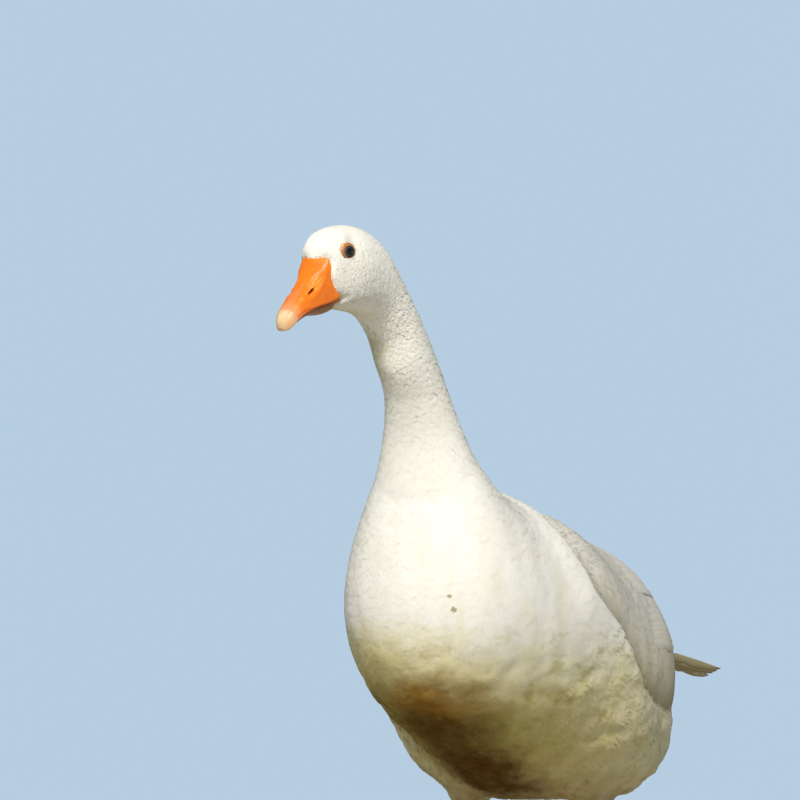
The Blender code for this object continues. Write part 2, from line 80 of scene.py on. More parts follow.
# %% Wires
class Wire:
    """An output socket that Python's operators work on."""

    def __init__(self, web, socket):
        self.web, self.socket = web, socket

    def also(self, name):
        """Another output of the same node."""
        return Wire(self.web, self.socket.node.outputs[name])

    def __add__(self, other):
        return self.web.sum("ADD", self, other)

    def __sub__(self, other):
        return self.web.sum("SUBTRACT", self, other)

    def __mul__(self, other):
        return self.web.sum("MULTIPLY", self, other)

    def __truediv__(self, other):
        return self.web.sum("DIVIDE", self, other)

    def __radd__(self, other):
        return self.web.sum("ADD", other, self)

    def __rsub__(self, other):
        return self.web.sum("SUBTRACT", other, self)

    def __rmul__(self, other):
        return self.web.sum("MULTIPLY", self, other)

    def __rtruediv__(self, other):
        return self.web.sum("DIVIDE", other, self)


def is_vector(value):
    if isinstance(value, Wire):
        return value.socket.type == "VECTOR"
    return isinstance(value, (tuple, Vector))


print("a tuple of three counts as a vector:", is_vector((0.0, 0.0, 1.0)))

# %% [markdown]
# ## One method for every node
# Any other node comes from one method, which takes its type, its settings, and the values or wires of its
# sockets. The few that come up again and again have short names of their own, such as a smooth step, a mix
# of two colours, noise and length.


# %% Webs
class Web:
    """A node tree, with one method that adds any node."""

    def __init__(self, tree):
        self.tree = tree

    def add(self, kind, settings=None, sockets=None, out=0):
        node = self.tree.nodes.new(kind)
        for name, value in (settings or {}).items():
            setattr(node, name, value)
        for name, value in (sockets or {}).items():
            if isinstance(value, Wire):
                self.tree.links.new(value.socket, node.inputs[name])
            else:
                node.inputs[name].default_value = value
        return Wire(self, node.outputs[out]) if node.outputs else node

    def sum(self, operation, first, second):
        if operation == "MULTIPLY" and is_vector(first) != is_vector(second):
            vector, number = (first, second) if is_vector(first) else (second, first)
            sockets = {0: vector, "Scale": number}
            return self.add("ShaderNodeVectorMath", {"operation": "SCALE"}, sockets)
        if is_vector(first) or is_vector(second):
            return self.add("ShaderNodeVectorMath", {"operation": operation}, {0: first, 1: second})
        return self.add("ShaderNodeMath", {"operation": operation}, {0: first, 1: second})

    def call(self, operation, first, second=0.0):
        return self.add("ShaderNodeMath", {"operation": operation}, {0: first, 1: second})

    def step(self, value, low, high, to=(0.0, 1.0)):
        """A smooth step of value from low to high."""
        sockets = {"Value": value, 1: low, 2: high, 3: to[0], 4: to[1]}
        return self.add("ShaderNodeMapRange", {"interpolation_type": "SMOOTHSTEP"}, sockets)

    def mix(self, factor, first, second, blend="MIX"):
        """Two colours mixed."""
        first, second = [(*c, 1.0) if isinstance(c, tuple) else c for c in (first, second)]
        settings = {"data_type": "RGBA", "blend_type": blend}
        return self.add("ShaderNodeMix", settings, {0: factor, 6: first, 7: second}, 2)

    def noise(self, place, scale, detail=2.0, roughness=0.5):
        sockets = {"Vector": place, "Scale": scale, "Detail": detail, "Roughness": roughness}
        return self.add("ShaderNodeTexNoise", None, sockets)

    def length(self, vector):
        return self.add("ShaderNodeVectorMath", {"operation": "LENGTH"}, {0: vector}, "Value")

    def apart(self, vector):
        """A vector's three parts: the first, with the others as its also("Y") and also("Z")."""
        return self.add("ShaderNodeSeparateXYZ", None, {0: vector})

    def object_place(self):
        return self.add("ShaderNodeTexCoord", out="Object")

    def painted(self, name, out="Fac"):
        """An attribute of the piece's own points."""
        return self.add("ShaderNodeAttribute", {"attribute_name": name}, out=out)


print("a web has", [name for name in dir(Web) if not name.startswith("_")])

# %% [markdown]
# ## Finishes
# A finish is a material with one Principled shader. What is the same all over the surface is set on the
# shader's own sockets. What changes over it, such as colour and roughness, is fed by a wire.


# %% Finishes
def finish_of(name, **constants):
    """A new material, its web and its Principled shader, with the inputs that are the same all over set."""
    made = bpy.data.materials.new(name)
    made.use_nodes = True
    shader = made.node_tree.nodes["Principled BSDF"]
    for socket, value in constants.items():
        shader.inputs[socket.replace("_", " ")].default_value = value
    return made, Web(made.node_tree), shader


def feed(web, shader, **wires):
    for socket, wire in wires.items():
        web.tree.links.new(wire.socket, shader.inputs[socket.replace("_", " ")])


print("finishes are ready to be mixed")

# %% [markdown]
# ## The head's own measure
# The head is turned to the goose's right and bows, so its shapes are easier to say along the bill, out to
# the goose's left and up from the skull. The gape, where the bill's edges meet, is the zero point. It is
# found from the two eyes, which lie level on either side of the skull.

# %% Head measure
SIGNS = {"left": 1, "right": -1}  # the goose's left is +X
SIDES = tuple(SIGNS)
HEAD_YAW, HEAD_PITCH = math.radians(15), math.radians(23)
GAPE_FROM_EYES = (0.0159, -0.0282)  # along and up

ALONG = Vector((
    -math.sin(HEAD_YAW) * math.cos(HEAD_PITCH),
    -math.cos(HEAD_YAW) * math.cos(HEAD_PITCH),
    -math.sin(HEAD_PITCH),
))
OUT = Vector((math.cos(HEAD_YAW), -math.sin(HEAD_YAW), 0.0))
UP = ALONG.cross(OUT)


def centre_of(node):
    low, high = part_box(node)
    return (Vector(low) + Vector(high)) / 2


eye_centres = {side: centre_of("eye_" + side) for side in SIDES}
between_eyes = (eye_centres["left"] + eye_centres["right"]) / 2
gape = between_eyes + ALONG * GAPE_FROM_EYES[0] + UP * GAPE_FROM_EYES[1]
eye_low, eye_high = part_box("eye_left")
eye_radius = (Vector(eye_high) - Vector(eye_low)).z / 2
head_axes = np.array([ALONG, OUT, UP])


def in_head(points):
    """Points in the head's own measure: along, out and up from the gape."""
    return (np.asarray(points) - np.array(gape)) @ head_axes.T


def from_head(along, out, up):
    return gape + ALONG * along + OUT * out + UP * up


print("gape", [round(v, 4) for v in gape], "eye radius", round(eye_radius, 4))

# %% [markdown]
# ## Meshes as arrays
# Sculpting by formula is quickest on arrays: read a mesh's points, move them all at once, write them back.
# The CAD nodes come as loose triangles, so their copies are merged before anything bends or smooths them.

# %% Reading and making meshes
MERGE = 1e-6


def read(mesh):
    """Points and triangles of a mesh."""
    mesh.calc_loop_triangles()
    points = np.empty(len(mesh.vertices) * 3, np.float32)
    mesh.vertices.foreach_get("co", points)
    corners = np.empty(len(mesh.loop_triangles) * 3, np.int32)
    mesh.loop_triangles.foreach_get("vertices", corners)
    return points.reshape(-1, 3).astype(float), corners.reshape(-1, 3)


def write(mesh, points):
    mesh.vertices.foreach_set("co", np.asarray(points, np.float32).ravel())
    mesh.update()


def node_solid(name):
    """A merged copy of a CAD node: points and triangles."""
    points, corners = read(nodes[name].data)
    _, first, index = np.unique(
        np.round(points / MERGE), axis=0, return_index=True, return_inverse=True
    )
    corners = index.reshape(-1)[corners]
    a, b, c = corners.T
    return points[first], corners[(a != b) & (b != c) & (a != c)]


def joined(solids):
    """Several (points, faces) as one."""
    points, faces, base = [], [], 0
    for p, f in solids:
        points.append(p)
        faces.append(np.asarray(f) + base)
        base += len(p)
    return np.concatenate(points), np.concatenate(faces)


def make(name, points, faces):
    """A new object at the origin with this mesh."""
    mesh = bpy.data.meshes.new(name)
    mesh.from_pydata([tuple(p) for p in points], [], [tuple(int(i) for i in f) for f in faces])
    obj = bpy.data.objects.new(name, mesh)
    bpy.context.scene.collection.objects.link(obj)
    return obj


def settle(obj):
    """Applies an object's modifiers and gives it the plain mesh that they make."""
    graph = bpy.context.evaluated_depsgraph_get()
    made = bpy.data.meshes.new_from_object(obj.evaluated_get(graph))
    obj.modifiers.clear()
    obj.data = made
    return obj


def set_attribute(mesh, name, values):
    """Values kept at a mesh's points, for Geometry Nodes and finishes to read."""
    kind, field = ("FLOAT_VECTOR", "vector") if values.ndim == 2 else ("FLOAT", "value")
    made = mesh.attributes.new(name, kind, "POINT")
    made.data.foreach_set(field, np.asarray(values, np.float32).ravel())


print("the head's solid has", len(node_solid("head")[1]), "triangles")

# %% [markdown]
# ## Smoothing
# The plain solids have flat faces, and flesh hasn't. A subdivided copy rounds them off, with the rims of
# flat ends kept sharp so that parts still meet. A voxel remesh then joins parts into one surface of small
# even faces. It leaves steps, so neighbours are evened out, and swelling back keeps the size.

# %% Smoothing
ROUND_FLAT, ROUND_SQUARE, ROUND_SHARP = math.radians(35), math.radians(70), math.radians(48)
SHRINK, SWELL = 0.60, -0.62  # one round of evening out: in, and back out a little further


def normals_of(points, corners):
    """Smooth normals at the points of a mesh of triangles."""
    a, b, c = points[corners[:, 0]], points[corners[:, 1]], points[corners[:, 2]]
    face = np.cross(b - a, c - a)
    total = np.stack([
        sum(np.bincount(corners[:, k], face[:, axis], len(points)) for k in range(3))
        for axis in range(3)
    ], 1)
    return total / np.maximum(np.linalg.norm(total, axis=1), 1e-12)[:, None]


def edges_of(mesh):
    ends = np.empty(len(mesh.edges) * 2, np.int32)
    mesh.edges.foreach_get("vertices", ends)
    return ends.reshape(-1, 2)


def relaxed(values, edges, rounds, strength=0.5):
    """Values at the points, evened out with their neighbours'."""
    values = np.array(values, float)
    flat = values.reshape(len(values), -1)
    count = np.bincount(edges.ravel(), minlength=len(values))[:, None]
    for _ in range(rounds):
        total = np.stack([
            np.bincount(edges[:, 0], column[edges[:, 1]], len(values))
            + np.bincount(edges[:, 1], column[edges[:, 0]], len(values))
            for column in flat.T
        ], 1)
        flat += strength * (total / count - flat)
    return flat.reshape(values.shape)


def rounded(solid, levels=2):
    """A solid of few faces made smooth, with the rims of its flat ends kept sharp."""
    obj = make("rounded", *solid)
    mesh = bmesh.new()
    mesh.from_mesh(obj.data)
    bmesh.ops.join_triangles(
        mesh, faces=mesh.faces, angle_face_threshold=ROUND_FLAT, angle_shape_threshold=ROUND_SQUARE
    )
    crease = mesh.edges.layers.float.new("crease_edge")
    for edge in mesh.edges:
        if len(edge.link_faces) == 2 and edge.calc_face_angle() > ROUND_SHARP:
            edge[crease] = 1.0
    mesh.to_mesh(obj.data)
    mesh.free()
    change = obj.modifiers.new("round", "SUBSURF")
    change.levels = change.render_levels = levels
    settle(obj)
    solid = read(obj.data)
    bpy.data.objects.remove(obj)
    return solid


def remeshed(name, solids, voxel, rounds):
    """One smooth closed surface of small even faces round several solids. Each round evens it out and then
    swells it back, so it loses its edges but not its size."""
    obj = make(name, *joined(solids))
    change = obj.modifiers.new("remesh", "REMESH")
    change.mode, change.voxel_size = "VOXEL", voxel
    settle(obj)
    points, _ = read(obj.data)
    edges = edges_of(obj.data)
    for _ in range(rounds):
        points = relaxed(relaxed(points, edges, 1, SHRINK), edges, 1, SWELL)
    write(obj.data, relaxed(points, edges, 2))
    obj.data.shade_smooth()
    return obj


print("smoothing by", SHRINK, "and", SWELL)

# %% [markdown]
# ## Soft steps and bumps
# A sculptor pushes clay with a thumb: most in the middle, fading to nothing at the edge. Two formulas do
# that on arrays. A bump is one push, and a ramp keeps a push to one side of a line. Written as formulas
# rather than brush strokes, the shape comes out the same each time that the script runs.

# %% Bump and ramp
def bump(distance, size):
    """A soft bump: 1 in the middle, about 0.37 at its size."""
    return np.exp(-((distance / size) ** 2))


def ramp(value, low, high):
    """A smooth step of an array from low to high."""
    share = np.clip((value - low) / (high - low), 0.0, 1.0)
    return share * share * (3 - 2 * share)


def from_spot(points, spot, stretch=(1.0, 1.0, 1.0)):
    """Distances from a spot, in a measure stretched along each axis."""
    return np.linalg.norm((points - np.array(spot)) / np.array(stretch), axis=1)


print("half way up a ramp:", ramp(0.5, 0.0, 1.0), "and at a bump's size:", round(float(bump(1.0, 1.0)), 2))

# %% [markdown]
# ## Plumage colours
# A farm goose's white plumage is warm rather than paper white. Where it lies and feeds the feathers hold
# mud: the lower breast is yellow to olive, with a rusty patch and a brown one in the middle. That yellow to
# olive is partly soil and partly painted shade and painted ground reflection on the underside, and the
# throat's dull yellow is a painted shadow of the head. Each mark has a place, a reach and a colour, and its
# edge is bent by noise.

# %% Plumage colours
WHITE = (0.88, 0.868, 0.82)
CREAM = (0.75, 0.67, 0.34)
OLIVE = (0.42, 0.360, 0.110)
DRAB = (0.18, 0.125, 0.026)
RUST = (0.31, 0.165, 0.028)
MUD = (0.085, 0.040, 0.006)
THROAT_SHADOW = (0.58, 0.54, 0.32)
SOILS_AND_SHADES = (  # place, reach along each axis, colour, strength
    # the cream, olive and drab patches are partly soil and partly painted shade and painted ground reflection
    ((-0.030, -0.165, 0.262), (0.095, 0.085, 0.040), CREAM, 0.85),
    ((-0.045, -0.105, 0.212), (0.095, 0.100, 0.066), OLIVE, 0.90),
    ((0.030, -0.095, 0.200), (0.090, 0.085, 0.046), OLIVE, 0.75),
    ((-0.070, -0.090, 0.192), (0.070, 0.090, 0.055), DRAB, 0.85),
    ((-0.014, -0.115, 0.205), (0.070, 0.085, 0.044), DRAB, 0.80),
    ((0.002, -0.145, 0.237), (0.052, 0.056, 0.026), RUST, 1.0),
    ((-0.006, -0.118, 0.209), (0.044, 0.060, 0.024), MUD, 0.95),
    ((0.004, -0.074, 0.167), (0.054, 0.100, 0.048), MUD, 1.0),
    ((0.000, -0.030, 0.150), (0.050, 0.090, 0.036), MUD, 1.0),
    # painted shadow of the head on the throat, tinted by painted ground reflection
    ((-0.030, -0.215, 0.535), (0.024, 0.028, 0.036), THROAT_SHADOW, 0.85),
    ((-0.036, -0.252, 0.566), (0.026, 0.030, 0.016), THROAT_SHADOW, 0.55),
)
SPECKS = (  # place, reach
    ((0.0344, -0.183, 0.3261), 0.0030),
    ((0.0380, -0.181, 0.3143), 0.0034),
    ((0.1193, -0.006, 0.2740), 0.0030),
    ((0.0960, -0.060, 0.2300), 0.0040),
)
CLOUD_TINT, STAIN_SPECK = (0.84, 0.80, 0.69), (0.30, 0.22, 0.08)
NECK_SHADE, BARB_SHADE, CREASE_SHADE = (0.82, 0.80, 0.72), (0.86, 0.84, 0.76), (0.46, 0.42, 0.33)
print(len(SOILS_AND_SHADES), "stains and", len(SPECKS), "specks")

# %% [markdown]
# ## The plumage recipe
# The colour is built up in layers, from the whole bird to the barb. First comes a cloudy white, then soils
# that deepen towards the belly, partly dirt and partly painted shade and painted ground reflection, and then
# the stains and the throat's painted shadow. Painted shade darkens the clumps and barbs a little, the creases
# round the wings more, and the whole wing a little. Feathers are matt, so there is hardly any gloss. Skin and
# feathers share this one recipe on Object coordinates, which keeps a marking in one place on both.

# %% Plumage material
def plumage(name):
    made, web, shader = finish_of(name, Roughness=0.85, Specular_IOR_Level=0.05)
    place = web.object_place()
    fine = web.noise(place, 420.0, 2.0)
    cloud = web.noise(place, 26.0, 4.0, 0.62)
    shift = web.noise(place, 34.0, 3.0).also("Color")
    bent = place + (shift - (0.5, 0.5, 0.5)) * 0.042
    colour = web.mix(web.step(cloud, 0.42, 0.66) * 0.25, WHITE, CLOUD_TINT)
    streak = web.noise(place * (75.0, 60.0, 17.0), 1.0, 3.0)
    parts = web.apart(bent)
    height, front = parts.also("Z"), web.step(parts.also("Y"), 0.110, -0.090, (0.45, 1.0))
    mask = web.step(streak, 0.50, 0.72) * web.step(height, 0.43, 0.30)
    colour = web.mix(mask * 0.22, colour, CREAM)
    # cream, then olive, towards the belly: partly dirt and partly painted shade and painted ground reflection
    colour = web.mix(web.step(height, 0.305, 0.235) * front * 0.85, colour, CREAM)
    colour = web.mix(web.step(height, 0.268, 0.165) * front * 0.85, colour, OLIVE)
    smudge = web.noise(place * (42.0, 42.0, 70.0), 1.0, 4.0, 0.62)
    mask = web.step(smudge, 0.52, 0.66) * web.step(height, 0.320, 0.262) * front
    colour = web.mix(mask * 0.50, colour, OLIVE)
    # darkest at the bottom of the belly: partly dirt and partly painted shade
    mask = web.step(height, 0.178, 0.128) * web.step(streak, 0.25, 0.70, (0.35, 0.7))
    colour = web.mix(mask, colour, DRAB)
    # soils and stains, with the painted shade of the lower patches and the throat's painted shadow
    for spot, reach, soil_and_shade, strength in SOILS_AND_SHADES:
        gap = web.length((bent - spot) * tuple(1.0 / r for r in reach))
        patchy = web.step(cloud + fine * 0.25, 0.42, 0.66, (0.78, 1.0))
        patchy = patchy * web.step(streak, 0.30, 0.60, (0.82, 1.0))
        colour = web.mix(web.step(gap, 1.35, 0.30) * strength * patchy, colour, soil_and_shade)
    for spot, reach in SPECKS:
        gap = web.length(place - spot) / reach + (fine - 0.5) * 1.6
        colour = web.mix(web.step(gap, 0.85, 0.45) * 0.75, colour, STAIN_SPECK)
    clump = web.noise(place, 250.0, 2.0)
    on_neck = web.step(height, 0.44, 0.53, (0.25, 1.0)) * web.step(height, 0.635, 0.612, (0.2, 1.0))
    mask = web.step(clump, 0.54, 0.36) * 0.35 * on_neck
    colour = web.mix(mask, colour, NECK_SHADE, "MULTIPLY")
    colour = web.mix(web.step(fine, 0.35, 0.75) * 0.25, colour, BARB_SHADE, "MULTIPLY")
    # painted shade of the wing's crease and the wings, read from the skin and the quills
    colour = web.mix(web.painted("crease"), colour, CREASE_SHADE, "MULTIPLY")
    feed(web, shader, Base_Color=colour)
    return made


plumage_finish = plumage("plumage")
print("plumage material", len(plumage_finish.node_tree.nodes), "nodes")

# %% [markdown]
# ## The skin
# The parts of flesh are copied, grown by a hair so that the thin cuts between them close, and remeshed into
# one surface, which has no seams and is easy to sculpt. The tail's own solid is all feather, so the skin
# takes only a shrunken stump of it. Later the skin sinks by the depth of the coat: about two millimetres
# on the body, almost nothing at the bill.

# %% Skin shape
FLESH = ("head", "neck_upper", "neck_middle", "neck_lower", "breast", "trunk", "rump",
         "wing_left", "wing_right", "thigh_left", "thigh_right")
GROWN = 0.0006
SKIN_VOXEL = 0.0026
SKIN_ROUNDS = 14
EYES_SHRUNK = -0.0006
STUMP = (0.62, 0.50, 0.45)  # the tail stump's share of the tail, across, along and up


def grown(solid, by):
    points, corners = solid
    return points + by * normals_of(points, corners), corners


def stump_of_tail():
    points, corners = node_solid("tail")
    low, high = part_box("tail")
    root = np.array([0.0, low[1] - 0.010, (low[2] + high[2]) / 2 + 0.004])
    return root + (points - root) * np.array(STUMP), corners


solids = [grown(rounded(node_solid(name), 2 if name == "head" else 1), GROWN) for name in FLESH]
solids.append(stump_of_tail())
solids += [grown(node_solid("eye_" + side), EYES_SHRUNK) for side in SIDES]
skin = remeshed("goose_skin", solids, SKIN_VOXEL, SKIN_ROUNDS)
skin_points, skin_corners = read(skin.data)
skin_edges = edges_of(skin.data)
outward = normals_of(skin_points, skin_corners)
print("skin", len(skin_points), "points", len(skin_corners), "triangles")

# %% [markdown]
# ## Along the goose
# Feather length, coat depth and the lie of the feathers all change from tail to bill. A line through the
# middles of the parts gives every point of the skin a share of that way. Lists of values at the parts'
# middles then say how long and how deep the coat is there, and neighbours are evened out so that no step
# shows.

# %% Length and depth of the coat
SPINE = ("tail", "rump", "trunk", "breast",
         "neck_lower", "neck_middle", "neck_upper", "head", "bill_nail")
FEATHER_LENGTHS = (0.036, 0.034, 0.032, 0.025, 0.0150, 0.0110, 0.0085, 0.0056, 0.0026)
COAT_DEPTHS = (0.0022, 0.0022, 0.0021, 0.0012, 0.0011, 0.0011, 0.0013, 0.0009, 0.0002)
NEAREST = 0.004  # closer to the spine than this, a length of it pulls no harder
EVEN_ROUNDS = 25

knots = np.array([centre_of(name) for name in SPINE])
runs = np.concatenate([[0], np.cumsum(np.linalg.norm(np.diff(knots, axis=0), axis=1))])


def on_spine(points):
    """For each point: how far it lies along the line from tail to bill, and the way to the bill there."""
    best = np.full(len(points), np.inf)
    along, way = np.zeros(len(points)), np.zeros((len(points), 3))
    for a, b, start, end in zip(knots, knots[1:], runs, runs[1:]):
        leg = b - a
        t = np.clip((points - a) @ leg / (leg @ leg), 0, 1)
        gap = np.linalg.norm(points - a - t[:, None] * leg, axis=1)
        near = 1 / np.maximum(gap, NEAREST) ** 4
        way += near[:, None] * leg / np.linalg.norm(leg)
        along = np.where(gap < best, start + t * (end - start), along)
        best = np.minimum(gap, best)
    return along, way / np.linalg.norm(way, axis=1)[:, None]


along_spine, way = on_spine(skin_points)
run, quill, depth = [relaxed(values, skin_edges, EVEN_ROUNDS) for values in (
    along_spine / runs[-1],
    np.interp(along_spine, runs, FEATHER_LENGTHS),
    np.interp(along_spine, runs, COAT_DEPTHS),
)]
print("spine", round(float(runs[-1]), 3), "long; coat up to", round(float(depth.max()), 4), "deep")

# %% [markdown]
# ## Where the wings lie
# The folded wings are part of the one skin, but their feathers and folds differ from the body's. A point
# belongs to a wing where the wing's own solid is nearer than the body's. A search tree of each solid
# answers that quickly.

# %% Wing share
ON_WING_GAP, ON_WING_MOST = 0.0004, 0.004


def tree_of(solid):
    points, corners = solid
    return BVHTree.FromPolygons(list(map(tuple, points)), list(map(tuple, corners)))


def distances(tree, points):
    return np.array([tree.find_nearest(p)[3] for p in points])


to_wing = np.minimum(*[distances(tree_of(node_solid("wing_" + side)), skin_points) for side in SIDES])
to_body = distances(tree_of(joined([node_solid(n) for n in ("breast", "trunk", "rump")])), skin_points)
on_wing = (to_wing < to_body - ON_WING_GAP) & (to_wing < ON_WING_MOST)
wing_share = relaxed(on_wing.astype(float), skin_edges, 3)
body_part = 1 - wing_share
print("on the wings", int(on_wing.sum()), "points")

# %% [markdown]
# ## The roll over the wing
# The breast and flank feathers swell over the front edge of the folded wing. So the skin rises in a soft
# roll there, and the wing is tucked in just behind it. Both are pushes along the skin's own normal, added
# up in one value for each point, the lift.

# %% Roll and tuck
ROLL_BY, TUCK_BY = 0.0070, 0.0050

wing_low, wing_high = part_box("wing_left")
ahead_of_wing = ramp(skin_points[:, 1], wing_low[1] + 0.135, wing_low[1] + 0.060)
roll = bump(np.maximum(to_wing - 0.004, 0), 0.024) * ahead_of_wing * body_part
roll *= ramp(quill, 0.016, 0.022)
body_places = KDTree(len(skin_points))
for index in np.flatnonzero(wing_share < 0.5):
    body_places.insert(skin_points[index], index)
body_places.balance()
from_edge = np.zeros(len(skin_points))
for index in np.flatnonzero(wing_share >= 0.5):
    from_edge[index] = body_places.find(skin_points[index])[2]
behind_front = ramp(skin_points[:, 1], wing_low[1] + 0.200, wing_low[1] + 0.110)
tuck = bump(from_edge, 0.030) * wing_share * behind_front
lift = ROLL_BY * roll - TUCK_BY * tuck
print("roll over the wing", round(float(lift.max()), 4))

# %% [markdown]
# ## The face
# The brow stands out over the eye, the temple behind it is hollow, the cheek below is full, and the eye
# lies in a shallow dip. Each is a push at a place given from the eye in the head's own measure, so one
# short list shapes both sides.

# %% Brow, temple and cheek
EYE_DIP, EYE_DIP_RING, EYE_DIP_SIZE = 0.0005, 0.0105, 0.0032
FACE_PUSHES = (  # place from the eye (along, out, up), stretch, size, by how much
    ((-0.002, 0.001, 0.0115), (1.0, 1.0, 1.0), 0.0065, 0.0013),
    ((-0.011, 0.002, 0.006), (1.5, 1.0, 1.0), 0.0072, -0.0016),
    ((-0.012, 0.002, -0.020), (1.2, 1.0, 1.0), 0.0110, 0.0016),
)

head_places = in_head(skin_points)
head_along, head_out, head_up = head_places.T
for side, sign in SIGNS.items():
    gap = head_places - in_head([eye_centres[side]])[0]
    lift -= EYE_DIP * bump(np.linalg.norm(gap, axis=1) - EYE_DIP_RING, EYE_DIP_SIZE)
    for (along, out, up), stretch, size, by in FACE_PUSHES:
        lift += by * bump(from_spot(gap, (along, sign * out, up), stretch), size)
print(len(FACE_PUSHES), "pushes on each side of the face")

# %% [markdown]
# ## Waves of the belly
# Long soft feathers never lie quite flat. On the belly and flanks they gather in waves that run across the
# body, and on the breast in fine ripples that run down it. Smooth noise, stretched one way, gives both. The
# right flank is also drawn in, where the plain solid is too full.

# %% Waves and ripples
WAVES_BY, RIPPLES_BY = 0.0026, 0.0006
FLANK_PLACE, FLANK_REACH, FLANK_BY = (-0.095, 0.015, 0.193), (0.052, 0.090, 0.048), -0.0110

waves = np.array([
    noise.noise(Vector((p[0] * 34, p[1] * 30, p[2] * 62))) + 0.5 * noise.noise(Vector(p * 95))
    for p in skin_points
])
belly = ramp(skin_points[:, 2], 0.305, 0.225) * ramp(skin_points[:, 2], 0.120, 0.150) * body_part
lift += WAVES_BY * waves * belly
lift += FLANK_BY * bump(from_spot(skin_points, FLANK_PLACE, FLANK_REACH), 1.0)
ripples = np.array([noise.noise(Vector((p[0] * 70, p[1] * 60, p[2] * 22))) for p in skin_points])
lift += RIPPLES_BY * ripples * ramp(quill, 0.014, 0.020)
print("lift from", round(float(lift.min()), 4), "to", round(float(lift.max()), 4))

# %% [markdown]
# ## Feathering round the bill
# The edge of the face's feathers isn't straight. It reaches forward over the bill's sides above and below
# the gape, and a little over the middle of its top, and stands back at the upper corners. So the skin there
# slides along the head's own line by an amount that depends on how high it lies. Then all pushes are
# applied at once, and what would cover the eyeballs is drawn in behind them.

# %% Face feathering
FORWARD_UP = (-0.0220, -0.0170, -0.0110, -0.0080, -0.0050, -0.0020, 0.0030, 0.0120, 0.0200, 0.0260)
FORWARD_BY = (0.0, 0.0050, 0.0040, 0.0, 0.0, 0.0028, 0.0056, 0.0048, 0.0026, 0.0)
TOP_FORWARD, CORNER_BACK = 0.0020, 0.0038
EYE_CLEAR, EYE_BEHIND = 0.0002, 0.0008

advance = np.interp(head_up, FORWARD_UP, FORWARD_BY) * ramp(np.abs(head_out), 0.0050, 0.0085)
advance += TOP_FORWARD * bump(head_out, 0.0060) * ramp(head_up, 0.024, 0.030)
advance -= CORNER_BACK * bump(np.abs(head_out) - 0.0115, 0.0060) * bump(head_up - 0.0250, 0.0080)
forwards = advance * ramp(head_along, -0.008, 0.003) * (head_along < 0.02)
skin_points = skin_points + (lift - depth)[:, None] * outward + forwards[:, None] * np.array(ALONG)

for centre in eye_centres.values():
    gap = skin_points - np.array(centre)
    apart = np.linalg.norm(gap, axis=1)
    inside = apart < eye_radius + EYE_CLEAR
    behind = gap[inside] / apart[inside, None] * (eye_radius - EYE_BEHIND)
    skin_points[inside] = np.array(centre) + behind
write(skin.data, skin_points)
outward = normals_of(skin_points, skin_corners)
print("feathering reaches", round(float(forwards.max()), 4), "forward")

# %% [markdown]
# ## The lie of the coat
# Feathers point away from the bill: down the neck, over the breast, back along the body and down the thighs.
# Each point of the skin gets that way as an arrow in its tangent plane, evened out with its neighbours. The
# feathers are shorter on the thighs and the face, and the wings' are of one length.

# %% Lie and length
THIGH_REACH, THIGH_WAY, THIGH_SHORTER = 0.050, (0.0, 0.10, -1.0), 0.62
FACE_SHORTER = 0.30
WING_QUILLS = (0.026, 0.040)
LIE_ROUNDS = 4

lie = -way
lie[:, 2] -= 0.25 * ramp(skin_points[:, 2], 0.40, 0.30) * (1 - ramp(skin_points[:, 1], 0.10, 0.22))
for side in SIDES:
    centre = centre_of("thigh_" + side)
    beside = np.hypot(skin_points[:, 0] - centre.x, skin_points[:, 1] - centre.y) < THIGH_REACH
    down = ramp(skin_points[:, 2], 0.162, 0.138) * beside
    lie = lie * (1 - down[:, None]) + np.array(THIGH_WAY) * down[:, None]
    quill = np.where(down > 0.2, quill * (1 - THIGH_SHORTER * down), quill)


def in_tangent(arrows):
    arrows = arrows - (arrows * outward).sum(1)[:, None] * outward
    return arrows / np.maximum(np.linalg.norm(arrows, axis=1), 1e-9)[:, None]


lie = in_tangent(lie)
for _ in range(LIE_ROUNDS):
    lie = in_tangent(relaxed(lie, skin_edges, 3))
quill = relaxed(quill, skin_edges, 10)
quill *= 1 - FACE_SHORTER * ramp(head_along, -0.040, 0.002) * (head_along > -0.06)
quill = np.where(wing_share > 0.5, np.clip(quill * 1.15, *WING_QUILLS), quill)
print("feather lengths", round(float(quill.min()), 4), "to", round(float(quill.max()), 4))

# %% [markdown]
# ## Where no feather grows
# The eyes, the bill's horn and the legs are bare. A feather also mustn't reach over an eye from its root
# beside it, so the points whose feather would touch an eyeball are bare too. The tail stump is left to the
# long tail feathers. The wings and the stump are regions of their own, so that the coat's parts can choose.

# %% Bare places and regions
MARGIN_UP, MARGIN_ALONG = (-0.0122, 0.0328), (-0.0006, 0.0048)  # where the bill's horn begins
EYE_BARE, FEATHER_CLEAR, SHANK_CLEAR, STUMP_FROM = 0.0006, 0.0004, 0.003, 0.014
BODY, WINGS, TAIL_STUMP = 0.0, 1.0, 2.0

margin = np.interp(head_up, MARGIN_UP, MARGIN_ALONG) + advance
bare = (head_along > margin) & (head_up > -0.020) & (head_along < 0.02)
bare |= (skin_points[:, 2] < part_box("shank_left")[1][2] - SHANK_CLEAR) & (quill < 0.02)
for centre in eye_centres.values():
    bare |= from_spot(skin_points, centre) < eye_radius + EYE_BARE
    for share in (0.4, 0.75, 1.0):
        reached = skin_points + lie * (quill * share)[:, None]
        bare |= from_spot(reached, centre) < eye_radius + FEATHER_CLEAR
region = np.where(wing_share > 0.5, WINGS, BODY)
region[skin_points[:, 1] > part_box("tail")[0][1] + STUMP_FROM] = TAIL_STUMP
print("bare", int(bare.sum()), "of", len(bare), "points")
